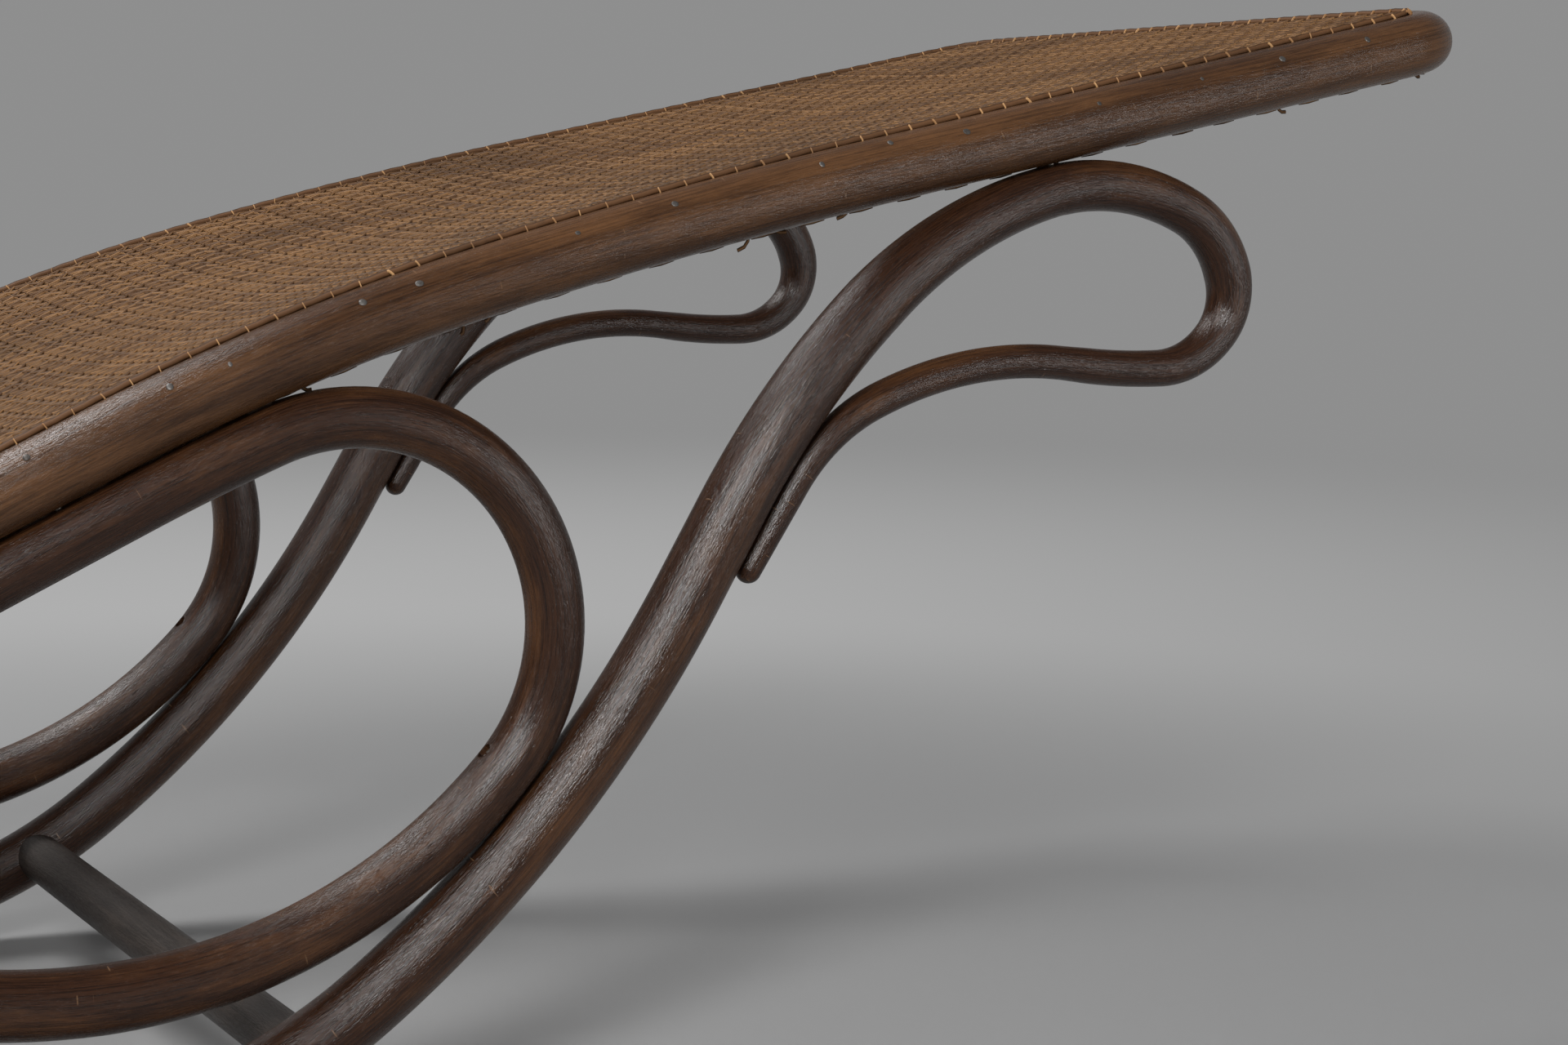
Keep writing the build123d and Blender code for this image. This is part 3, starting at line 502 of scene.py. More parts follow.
    def _lay_arm(self) -> None:
        """The arm, from the scroll over the hip to the runner's rear."""
        self.arm_y = self.half_width + max(self.rail_thick, self.runner_thick) / 2 + self.arm_thick / 2
        self.arm_y += self.seat_gap
        rise = self.scroll_rise_radius
        self.arm_first = self.scroll_low.after(bend(rise, -self.arm_start, self.arm_tip))
        post = self.scroll_low.after(bend(rise, -self.arm_lean, self.arm_thick))
        self.arm_level = self.hip.z + self.arm_height
        post_rise = self.arm_level - post.z - self.arm_front_radius * (1 - aim(self.arm_lean)[0])
        front = [
            bend(rise, self.arm_start - self.arm_full, self.arm_thick),
            bend(rise, self.arm_full - self.arm_lean, self.arm_thick),
            run(post_rise / aim(180.0 - self.arm_lean)[1], self.arm_thick),
            bend(self.arm_front_radius, self.arm_lean, self.arm_thick),
        ]
        rest_run = self.arm_first.follow(front).x - self.arm_rear_radius - self.upturn.x
        arm_drop = self.arm_level - self.arm_rear_radius - self.upturn.z
        self.rear_lap = self.upturn.after(run(arm_drop / 2, 0.0))
        self.arm_legs = front + [
            run(rest_run, self.arm_thick),
            bend(self.arm_rear_radius, 90.0, self.arm_thick),
            run(arm_drop, self.arm_thick),
            bend(self.upturn_radius, self.arm_lap_turn, self.arm_tip),
        ]
        self.rear_legs += [
            run(arm_drop, self.arm_thick),
            bend(self.arm_rear_radius, -self.rear_lap_turn, self.rear_tip),
        ]

    def _lay_bars(self) -> None:
        """The places of the bars across the chaise."""
        nut_corner = self.arm_nut_wide / math.sqrt(3.0)
        hip_x = self.arm_cross.x + nut_corner + self.hip_rail_from_bolt + self.hip_thick / 2
        hip_share = math.degrees(math.asin((hip_x - self.hip.x) / self.hip_radius))
        self.hip_bar = self.hip_start.after(self.hip_leg, (self.hip_leg.turn + hip_share) / self.hip_leg.turn)
        back = math.degrees(self.front_stretcher_back / self.toe_radius)
        self.front_bar = self.toe.after(self.toe_leg, 1 - back / self.toe_rise)
        heel = self.rear_low.after(self.heel_leg)
        self.rear_bar = heel.after(self.rear_leg, self.rear_stretcher_turn / self.rear_rise)
        self.hip_turn_left = abs(self.hip_leg.turn) - hip_share

    def bore(self, place: Place, thick: float, out: Place, y: float, sunk: float) -> Bore:
        """The hole over a screw's head in a rod that runs through a place."""
        mouth = shifted(place, out, thick / 2)
        return Bore((mouth[0], y, mouth[1]), (out[0], 0.0, out[1]), self.screw_head / 2, sunk + self.head_depth)

    def runner_bores(self, y: float) -> list[Bore]:
        """The holes in a runner: under its ear's top and in its tail."""
        tail_thick = self.tail_thick + (self.tail_tip - self.tail_thick) * self.tail_screw_share
        return [
            self.bore(self.ear_top, self.ear_top_thick, aim(self.foot_slope - 90.0), y, self.screw_sunk),
            self.bore(self.tail_mark.place, tail_thick, aim(self.shin_end.heading - 90.0), y, self.screw_sunk / 2),
        ]

    def scroll_bores(self, y: float) -> list[Bore]:
        """The holes in a scroll: of the screws to the rail and to the runner."""
        return [
            self.bore(mark.place, self.scroll_thick, aim(mark.heading - 90.0), y, self.screw_sunk)
            for mark in (self.rail_screw, self.runner_screw)
        ]

    def arm_bores(self, side: Side) -> list[Bore]:
        """The holes in an arm's outer face, at its laps."""
        y = side.value * (self.arm_y + self.arm_thick / 2)
        out, depth = (0.0, side.value, 0.0), self.screw_sunk + self.head_depth
        return [
            Bore((mark.x, y, mark.z), out, self.screw_head / 2, depth) for mark in (self.front_lap, self.rear_lap)
        ]

    def runner(self, y: float) -> RodLine:
        """A runner from its rear tip to the tip of its tail."""
        rear = RodLine.bent(self.rear_low, self.rear_legs, self.runner_thick, y)
        front = RodLine.bent(self.runner_low, self.front_legs, self.runner_thick, y)
        return rear.reversed().joined(front).rounded()

    def scroll(self, y: float) -> RodLine:
        """A side scroll."""
        return RodLine.bent(self.scroll_start, self.scroll_legs, self.scroll_front_tip, y).rounded()

    def arm(self, y: float) -> RodLine:
        """An arm."""
        return RodLine.bent(self.arm_first, self.arm_legs, self.arm_tip, y).rounded()

    def rail(self) -> RodLine:
        """The seat rail, from its left rear end round the foot to its right rear end."""
        half, corner = self.half_width, self.foot_corner
        side = RodLine.bent(self.seat_start, self.seat_legs, self.rail_thick, half).reversed()
        way = np.array(aim(self.foot_slope))
        turn = []
        for angle in np.linspace(0, math.pi / 2, self.FOOT_CORNER_POINTS)[1:]:
            x, z = np.array(self.foot_start.place) + way * corner * math.sin(angle)
            turn.append((x, half - corner * (1 - math.cos(angle)), z))
        turn = np.array(turn)
        bar = np.linspace(half - corner, corner - half, self.FOOT_BAR_POINTS)[1:]
        cross = np.array([(self.foot_bar[0], y, self.foot_bar[1]) for y in bar])
        other = turn[::-1][1:] * (1, -1, 1)
        points = np.vstack([side.points, turn, cross, other, (side.points[::-1] * (1, -1, 1))])
        return RodLine(points, np.full(len(points), self.rail_thick / 2)).rounded()

    def back_point(self, reach: float, y: float, lift: float = 0.0) -> tuple[float, float, float]:
        """A point of the back, by its distance from the pivot, its Y and its height over the back's plane."""
        cos_a, sin_a = aim(180.0 - self.back_angle)
        return self.pivot[0] + reach * cos_a + lift * sin_a, y, self.pivot[1] + reach * sin_a - lift * cos_a

    def back_frame(self) -> RodLine:
        """The back's frame, from its left pivot over the head to its right pivot."""
        half, corner = self.back_width / 2, self.back_corner
        flat = [(reach, half) for reach in np.linspace(0, self.back_length - corner, self.BACK_SIDE_POINTS)]
        for angle in np.linspace(0, math.pi / 2, self.BACK_CORNER_POINTS)[1:]:
            flat.append((
                self.back_length - corner * (1 - math.sin(angle)), half - corner * (1 - math.cos(angle))
            ))
        flat += [(self.back_length, y) for y in np.linspace(half - corner, 0, self.BACK_HEAD_POINTS)[1:]]
        points = [self.back_point(reach, y) for reach, y in flat]
        points += [self.back_point(reach, -y) for reach, y in flat[::-1][1:]]
        return RodLine(np.array(points), np.full(len(points), self.back_thick / 2)).rounded()

    def bar(self, place: Place, half_length: float, thick: float) -> RodLine:
        """A straight bar across the chaise."""
        points = [(place[0], y, place[1]) for y in np.linspace(-half_length, half_length, self.BAR_POINTS)]
        return RodLine(np.array(points), np.full(len(points), thick / 2))


# Node trees

class Graph:
    """A node tree under construction."""

    def __init__(self, tree: bpy.types.NodeTree) -> None:
        """Takes an empty tree."""
        self.tree = tree

    def node(
        self, kind: str, settings: dict[str, Any] | None = None, sockets: dict[Any, Any] | None = None
    ) -> bpy.types.Node:
        """Adds a node.

        Args:
            kind: The node's type.
            settings: Properties, which are set first.
            sockets: Values or links of its input sockets, by name or index.

        Returns:
            The node.
        """
        node = self.tree.nodes.new(kind)
        for name, value in (settings or {}).items():
            setattr(node, name, value)
        for name, value in (sockets or {}).items():
            self.feed(node.inputs[name], value)
        return node

    def math(self, operation: str, first: Any, second: Any) -> Socket:
        """The result of a Math node."""
        return self.node("ShaderNodeMath", {"operation": operation}, {0: first, 1: second}).outputs[0]

    def feed(self, socket: Socket, value: Any) -> None:
        """Links a socket to a value that comes from a node, or sets it."""
        if isinstance(value, Tap):
            value = value.socket
        if isinstance(value, Socket):
            self.tree.links.new(value, socket)
        elif socket.type == "RGBA" and len(value) == 3:
            socket.default_value = (*value, 1.0)
        else:
            socket.default_value = value


class Tap:
    """A shader value whose arithmetic adds Math nodes."""

    def __init__(self, paint: "Paint", socket: Socket) -> None:
        """Wraps a socket of a material."""
        self.paint, self.socket = paint, socket

    def _math(self, operation: str, first: Any, second: Any) -> "Tap":
        """The result of a Math node."""
        return Tap(self.paint, self.paint.math(operation, first, second))

    def __add__(self, other: Any) -> "Tap":
        """self + other"""
        return self._math("ADD", self, other)

    def __sub__(self, other: Any) -> "Tap":
        """self - other"""
        return self._math("SUBTRACT", self, other)

    def __rsub__(self, other: Any) -> "Tap":
        """other - self"""
        return self._math("SUBTRACT", other, self)

    def __mul__(self, other: Any) -> "Tap":
        """self * other"""
        return self._math("MULTIPLY", self, other)

    __radd__, __rmul__ = __add__, __mul__

    def step(self, low: float, high: float) -> "Tap":
        """A smooth step from 0 at low to 1 at high."""
        node = self.paint.node(
            "ShaderNodeMapRange", {"interpolation_type": "SMOOTHSTEP"},
            {"Value": self, "From Min": low, "From Max": high},
        )
        return Tap(self.paint, node.outputs[0])


class Paint(Graph):
    """A material under construction."""

    def __init__(self, name: str) -> None:
        """Starts a material with one shader."""
        self.material = bpy.data.materials.new(name)
        self.material.use_nodes = True
        super().__init__(self.material.node_tree)
        self.tree.nodes.clear()
        self.output = self.node("ShaderNodeOutputMaterial")
        self.shader = self.node("ShaderNodeBsdfPrincipled")
        self.tree.links.new(self.shader.outputs[0], self.output.inputs[0])

    def set(self, **values: Any) -> None:
        """Feeds the shader's sockets, named with underscores for spaces."""
        for name, value in values.items():
            self.feed(self.shader.inputs[name.replace("_", " ")], value)

    def place(self) -> Socket:
        """Where a point of the piece is."""
        return self.node("ShaderNodeTexCoord").outputs["Object"]

    def attribute(self, name: str) -> Socket:
        """A vector attribute of the piece."""
        return self.node("ShaderNodeAttribute", {"attribute_name": name}).outputs["Vector"]

    def value(self, name: str) -> Tap:
        """A number attribute of the piece."""
        return Tap(self, self.node("ShaderNodeAttribute", {"attribute_name": name}).outputs["Fac"])

    def noise(self, vector: Socket, scale: float, detail: float, rough: float) -> Tap:
        """A noise between 0 and 1.

        Args:
            vector: Where it is read.
            scale: Its fineness.
            detail: Its octaves.
            rough: How much the finer octaves count.

        Returns:
            The value.
        """
        sockets = {"Vector": vector, "Scale": scale, "Detail": detail, "Roughness": rough}
        return Tap(self, self.node("ShaderNodeTexNoise", None, sockets).outputs[0])

    def fibres(self, grain: Socket, fibre: "Fibre") -> Tap:
        """A noise that is stretched along the grain."""
        sockets = {0: grain, 1: (fibre.along, fibre.wide, fibre.wide)}
        stretched = self.node("ShaderNodeVectorMath", {"operation": "MULTIPLY"}, sockets).outputs[0]
        return self.noise(stretched, 1.0, fibre.detail, fibre.rough)

    def distance(self, place: Socket, point: Colour) -> Tap:
        """How far a place is from a point."""
        node = self.node("ShaderNodeVectorMath", {"operation": "DISTANCE"}, {0: place, 1: point})
        return Tap(self, node.outputs["Value"])

    def mix(self, share: Any, first: Any, second: Any) -> Socket:
        """A colour between two colours."""
        node = self.node("ShaderNodeMix", {"data_type": "RGBA"}, {0: share, 6: first, 7: second})
        return node.outputs[2]

    def bump(self, height: Tap, strength: float, distance: float) -> Socket:
        """A normal for the shader from a height."""
        node = self.node("ShaderNodeBump", None, {"Height": height, "Strength": strength, "Distance": distance})
        return node.outputs[0]


class GrowTree(Graph):
    """A geometry tree with named inputs that ends in plain geometry with a material."""

    def __init__(self, name: str, inputs: dict[str, str]) -> None:
        """Starts the tree.

        Args:
            name: The tree's name.
            inputs: Socket types by input name, besides the geometry and the material.
        """
        super().__init__(bpy.data.node_groups.new(name, "GeometryNodeTree"))
        face = self.tree.interface
        face.new_socket(name="Geometry", in_out="INPUT", socket_type="NodeSocketGeometry")
        face.new_socket(name="Geometry", in_out="OUTPUT", socket_type="NodeSocketGeometry")
        for key, kind in {**inputs, "Material": "NodeSocketMaterial"}.items():
            face.new_socket(name=key, in_out="INPUT", socket_type=kind)
        self.inputs = self.node("NodeGroupInput").outputs

    def attribute(self, name: str, kind: str = "FLOAT") -> Socket:
        """An attribute of the points worked from."""
        return self.node("GeometryNodeInputNamedAttribute", {"data_type": kind}, {"Name": name}).outputs[0]

    def held(self, geometry: Socket, kind: str, values: dict[str, Socket]) -> Any:
        """Keeps values at the points of a geometry.

        Args:
            geometry: The geometry.
            kind: The values' type.
            values: The values by name.

        Returns:
            The outputs of the node that keeps them.
        """
        node = self.node("GeometryNodeCaptureAttribute")
        for name in values:
            node.capture_items.new(kind, name)
        for name, value in {"Geometry": geometry, **values}.items():
            self.feed(node.inputs[name], value)
        return node.outputs

    def sweep(self, line: Socket, section: Socket, radius: Socket | None = None) -> None:
        """Ends the tree with a section swept along lines, and stores the grain along and across them.

        Args:
            line: The lines.
            section: The section.
            radius: What the section is multiplied by at each point, if it isn't to keep its size.
        """
        numbers = {"along": self.node("GeometryNodeSplineParameter").outputs["Length"]}
        if radius is not None:
            numbers["radius"] = radius
        path = self.held(line, "FLOAT", numbers)
        profile = self.held(section, "VECTOR", {"ring": self.node("GeometryNodeInputPosition").outputs[0]})
        sockets = {"Curve": path["Geometry"], "Profile Curve": profile["Geometry"], "Fill Caps": True}
        ring = self.node("ShaderNodeSeparateXYZ", None, {0: profile["ring"]}).outputs
        wide = [ring[0], ring[1]]
        if radius is not None:
            sockets["Scale"] = path["radius"]
            wide = [self.math("MULTIPLY", part, path["radius"]) for part in wide]
        swept = self.node("GeometryNodeCurveToMesh", None, sockets)
        grain = self.node("ShaderNodeCombineXYZ", None, {0: path["along"], 1: wide[0], 2: wide[1]})
        stored = self.node(
            "GeometryNodeStoreNamedAttribute", {"data_type": "FLOAT_VECTOR", "domain": "POINT"},
            {"Geometry": swept.outputs[0], "Name": "grain", "Value": grain.outputs[0]},
        )
        self.close(stored.outputs[0])

    def close(self, geometry: Socket) -> None:
        """Ends the tree with realised, smooth, painted geometry."""
        real = self.node("GeometryNodeRealizeInstances", None, {"Geometry": geometry})
        smooth = self.node("GeometryNodeSetShadeSmooth", None, {"Geometry": real.outputs[0]})
        painted = self.node(
            "GeometryNodeSetMaterial", None, {"Geometry": smooth.outputs[0], "Material": self.inputs["Material"]}
        )
        self.node("NodeGroupOutput", None, {"Geometry": painted.outputs[0]})

    def grow(self, name: str, base: bpy.types.Mesh, values: dict[str, Any]) -> bpy.types.Object:
        """Runs the tree on a base mesh.

        Args:
            name: The name of the piece.
            base: Points and edges to work from.
            values: The tree's inputs by name.

        Returns:
            The piece, as a plain mesh object.
        """
        carrier = linked(name + "_base", base)
        modifier = carrier.modifiers.new("grow", "NODES")
        modifier.node_group = self.tree
        for item in self.tree.interface.items_tree:
            if item.in_out == "INPUT" and item.name in values:
                modifier[item.identifier] = values[item.name]
        mesh = evaluated(carrier, name)
        bpy.data.objects.remove(carrier)
        return linked(name, mesh)


def rod_tree() -> GrowTree:
    """A tree that sweeps a round section along lines, with the grain running along them.

    Returns:
        The tree, with the input Sides.
    """
    tree = GrowTree("bent_rod", {"Sides": "NodeSocketInt"})
    line = tree.node("GeometryNodeMeshToCurve", None, {"Mesh": tree.inputs["Geometry"]})
    section = tree.node(
        "GeometryNodeCurvePrimitiveCircle", {"mode": "RADIUS"}, {"Resolution": tree.inputs["Sides"], "Radius": 1.0}
    )
    tree.sweep(line.outputs[0], section.outputs[0], tree.attribute("rod_radius"))
    return tree


def cane_tree() -> GrowTree:
    """A tree that sweeps a flat strand along lines laid over a level panel.

    Returns:
        The tree, with the inputs Wide and Thick.
    """
    tree = GrowTree("cane_strand", {"Wide": "NodeSocketFloat", "Thick": "NodeSocketFloat"})
    line = tree.node("GeometryNodeMeshToCurve", None, {"Mesh": tree.inputs["Geometry"]})
    level = tree.node("GeometryNodeSetCurveNormal", {"mode": "Z_UP"}, {"Curve": line.outputs[0]})
    section = tree.node("GeometryNodeCurvePrimitiveCircle", {"mode": "RADIUS"}, {"Resolution": 4, "Radius": 0.5})
    size = tree.node("ShaderNodeCombineXYZ", None, {0: tree.inputs["Thick"], 1: tree.inputs["Wide"], 2: 1.0})
    shaped = tree.node("GeometryNodeTransform", None, {"Geometry": section.outputs[0], "Scale": size.outputs[0]})
    tree.sweep(level.outputs[0], shaped.outputs[0])
    return tree


def line_mesh(name: str, lines: Sequence[np.ndarray], numbers: dict[str, Sequence[np.ndarray]]) -> bpy.types.Mesh:
    """A mesh of open lines.

    Args:
        name: Its name.
        lines: The points of each line.
        numbers: Values at the points of each line, by attribute name.

    Returns:
        The mesh.
    """
    points = np.vstack(lines)
    edges = []
    first = 0
    for line in lines:
        edges += [(first + index, first + index + 1) for index in range(len(line) - 1)]
        first += len(line)
    mesh = bpy.data.meshes.new(name + "_lines")
    mesh.from_pydata((points * MM).tolist(), edges, [])
    for key, values in numbers.items():
        store = mesh.attributes.new(key, "FLOAT", "POINT").data
        store.foreach_set("value", np.concatenate(values).astype(np.float32))
    return mesh


# Finishes

@dataclass(frozen=True)
class Fibre:
    """A noise along a grain: its fineness along and across, its octaves and how much the finer ones count."""

    along: float
    wide: float
    detail: float
    rough: float


@dataclass(frozen=True)
class StainedBeech:
    """Bentwood beech under a dark stain and an old, crazed polish."""

    deep: Colour = (0.0125, 0.0048, 0.0024)
    body: Colour = (0.037, 0.0145, 0.0065)
    worn: Colour = (0.088, 0.036, 0.0125)
    scratch: Colour = (0.22, 0.125, 0.065)
    fibre: Fibre = Fibre(14.0, 900.0, 3.0, 0.6)
    fleck: Fibre = Fibre(110.0, 2300.0, 2.0, 0.55)
    cloud: Fibre = Fibre(4.5, 34.0, 3.0, 0.6)
    rub: Fibre = Fibre(22.0, 90.0, 4.0, 0.65)
    nick: Fibre = Fibre(640.0, 75.0, 0.0, 0.4)
    craze: Fibre = Fibre(150.0, 900.0, 3.0, 0.7)
    swell: Fibre = Fibre(30.0, 140.0, 2.0, 0.5)
    streak_band: Band = (0.36, 0.62)
    wear_band: Band = (0.47, 0.66)
    nick_band: Band = (0.85, 0.88)
    fleck_band: Band = (0.60, 0.70)
    craze_band: Band = (0.35, 0.7)
    gloss: float = 0.15
    matt: float = 0.34
    specular: float = 0.38
    relief: float = 0.75
    relief_depth: float = 0.0006

    def paint(self, name: str) -> bpy.types.Material:
        """The material, whose grain runs along each rod."""
        paint = Paint(name)
        grain = paint.attribute("grain")
        fibre, flecks, cloud, rubbed, nicks, crazing, swell = (
            paint.fibres(grain, kind)
            for kind in (self.fibre, self.fleck, self.cloud, self.rub, self.nick, self.craze, self.swell)
        )
        streak = (fibre * 0.6 + flecks * 0.4).step(*self.streak_band)
        wear = (cloud * 0.6 + rubbed * 0.4).step(*self.wear_band)
        tone = paint.mix(streak, self.deep, self.body)
        tone = paint.mix(wear * (0.3 + streak * 0.6), tone, self.worn)
        tone = paint.mix(nicks.step(*self.nick_band) * 0.45, tone, self.scratch)
        tone = paint.mix(flecks.step(*self.fleck_band) * 0.45, tone, self.deep)
        dull = crazing.step(*self.craze_band) * 0.7 + wear * 0.3
        paint.set(
            Base_Color=tone,
            Roughness=self.gloss + (self.matt - self.gloss) * dull,
            Normal=paint.bump(crazing * 0.9 + flecks * 0.45 + swell * 0.8, self.relief, self.relief_depth),
            Specular_IOR_Level=self.specular,
        )
        return paint.material


@dataclass(frozen=True)
class Cane:
    """Old split cane, glossy on its bark side and darkened with age, with painted shade along the edges of every
    strand.
    """

    # Distance from a strand's middle at which its painted edge shade is full.
    edge_shade_width: float
    pale: Colour = (0.275, 0.142, 0.056)
    brown: Colour = (0.112, 0.053, 0.021)
    # Dark tone, used for dirt and for the painted shade at strand edges.
    dark_tone: Colour = (0.022, 0.0105, 0.005)
    fibre: Fibre = Fibre(40.0, 2600.0, 3.0, 0.6)
    knot: Fibre = Fibre(60.0, 60.0, 3.0, 0.6)
    tone_band: Band = (0.2, 0.8)
    cloud_band: Band = (0.42, 0.72)
    knot_band: Band = (0.55, 0.72)
    edge_shade_from: float = 0.55
    gloss: float = 0.5
    specular: float = 0.22
    relief: float = 0.35
    relief_depth: float = 0.0003

    def paint(self, name: str) -> bpy.types.Material:
        """The material, with fibres along each strand and its own tone on every strand."""
        paint = Paint(name)
        grain = paint.attribute("grain")
        tone = paint.value("strand_tone")
        fibre, knots = paint.fibres(grain, self.fibre), paint.fibres(grain, self.knot)
        cloud = paint.noise(paint.place(), 7.0, 3.0, 0.6)
        colour = paint.mix((fibre * 0.45 + tone * 0.55).step(*self.tone_band), self.brown, self.pale)
        # Dirt in clouds and at knots pulls the cane toward its dark tone.
        dark_tone = cloud.step(*self.cloud_band) * 0.4 + knots.step(*self.knot_band) * 0.4
        colour = paint.mix(dark_tone, colour, self.dark_tone)
        # Painted shade: each strand darkens toward its edges, where it meets the strands beside it.
        middle = paint.node("ShaderNodeSeparateXYZ", None, {0: grain}).outputs[2]
        away = Tap(paint, paint.node("ShaderNodeMath", {"operation": "ABSOLUTE"}, {0: middle}).outputs[0])
        colour = paint.mix(away.step(self.edge_shade_from * self.edge_shade_width, self.edge_shade_width) * 0.75, colour, self.dark_tone)
        paint.set(
            Base_Color=colour,
            Roughness=self.gloss + fibre * 0.25,
            Normal=paint.bump(fibre, self.relief, self.relief_depth),
            Specular_IOR_Level=self.specular,
        )
        return paint.material


@dataclass(frozen=True)
class OldMetal:
    """A worn metal with a patina in its hollows."""

    bright: Colour
    patina: Colour
    metallic: float
    gloss: float
    matt: float

    def paint(self, name: str) -> bpy.types.Material:
        """The material."""
        paint = Paint(name)
        place = paint.place()
        blotch = paint.noise(place, 55.0, 5.0, 0.65)
        speck = paint.noise(place, 900.0, 3.0, 0.6)
        age = (blotch * 0.7 + speck * 0.3).step(0.4, 0.62)
        paint.set(
            Base_Color=paint.mix(age, self.bright, self.patina),
            Metallic=self.metallic * (1 - age * 0.45),
            Roughness=self.gloss + (self.matt - self.gloss) * age,
            Normal=paint.bump(speck * 0.6 + blotch * 0.4, 0.25, 0.0004),
        )
        return paint.material


@dataclass(frozen=True)
class Paper:
    """The plain pale floor, which turns into a self-lit backdrop away from the chaise, with a painted glow on it
    that is lightest near one point and fades to an even grey.
    """

    tone: Colour = (0.30, 0.30, 0.30)
    # Colour of the painted glow at its lightest point.
    painted_glow_tone: Colour = (0.43, 0.43, 0.43)
    far: Colour = (0.272, 0.272, 0.272)
    floor_radius: float = 0.9
    even_radius: float = 2.0
    glow_at: tuple[float, float, float] = (0.6, 1.7, 0.2)
    glow_radius: float = 3.0

    def paint(self, name: str = "studio_paper") -> bpy.types.Material:
        """The material."""
        paint = Paint(name)
        paint.set(Base_Color=self.tone, Roughness=0.95, Specular_IOR_Level=0.1)
        place = paint.place()
        share = paint.distance(place, (0.0, 0.0, 0.0)).step(self.floor_radius, self.even_radius)
        # Painted glow: the backdrop's emission is lightest at glow_at and fades to the far grey.
        glow_fade = paint.distance(place, self.glow_at).step(0.0, self.glow_radius)
        tone = paint.mix(glow_fade, self.painted_glow_tone, self.far)
        even = paint.node("ShaderNodeEmission", None, {"Color": tone, "Strength": 1.0})
        blend = paint.node("ShaderNodeMixShader", None, {0: share, 1: paint.shader.outputs[0], 2: even.outputs[0]})
        paint.tree.links.new(blend.outputs[0], paint.output.inputs[0])
        return paint.material


def painted(name: str, finish: StainedBeech | Cane | OldMetal) -> Any:
    """A field that holds the material of a finish, painted when its owner is made."""
    return field(default_factory=lambda: finish.paint(name))


@dataclass
class Palette:
    """All finishes, painted once."""

    wood: bpy.types.Material = painted("stained_beech", StainedBeech())
    rubbed: bpy.types.Material = painted("rubbed_beech", StainedBeech(
        deep=(0.024, 0.0098, 0.0040), body=(0.066, 0.0285, 0.0112), worn=(0.118, 0.053, 0.0205),
        wear_band=(0.40, 0.62),
    ))
    cane: bpy.types.Material = painted("old_cane", Cane(0.9 * MM))
    ties: bpy.types.Material = painted("old_ties", Cane(4.0 * MM, (0.42, 0.235, 0.10), (0.25, 0.125, 0.05)))
    dusty: bpy.types.Material = painted("dusty_beech", StainedBeech(
        deep=(0.0115, 0.0080, 0.0062), body=(0.033, 0.0245, 0.0195), worn=(0.054, 0.041, 0.033),
        gloss=0.4, matt=0.6,
    ))
    binder: bpy.types.Material = painted("old_binder", Cane(2.2 * MM, (0.21, 0.105, 0.042), (0.115, 0.053, 0.022)))
    iron: bpy.types.Material = painted(
        "old_iron", OldMetal((0.16, 0.15, 0.14), (0.035, 0.027, 0.022), 0.85, 0.4, 0.65)
    )
    steel: bpy.types.Material = painted(
        "old_steel", OldMetal((0.42, 0.40, 0.37), (0.10, 0.075, 0.055), 0.95, 0.32, 0.6)
    )
    brass: bpy.types.Material = painted(
        "old_brass", OldMetal((0.60, 0.42, 0.17), (0.16, 0.095, 0.04), 0.95, 0.28, 0.5)
    )


def settle(piece: bpy.types.Object, body: str, slot: str, *nodes: str) -> bpy.types.Object:
    """Puts a finished piece on its body in place of solids.

    Args:
        piece: The piece.
        body: The body it rides on.
        slot: The record's material slot; not used.
        nodes: The solids that it stands for.

    Returns:
        The piece.
    """
    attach(piece, body)
    if nodes:
        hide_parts(*nodes)
    LOG.info("%s: %d faces on %s", piece.name, len(piece.data.polygons), body)
    return piece


# Sub-assemblies

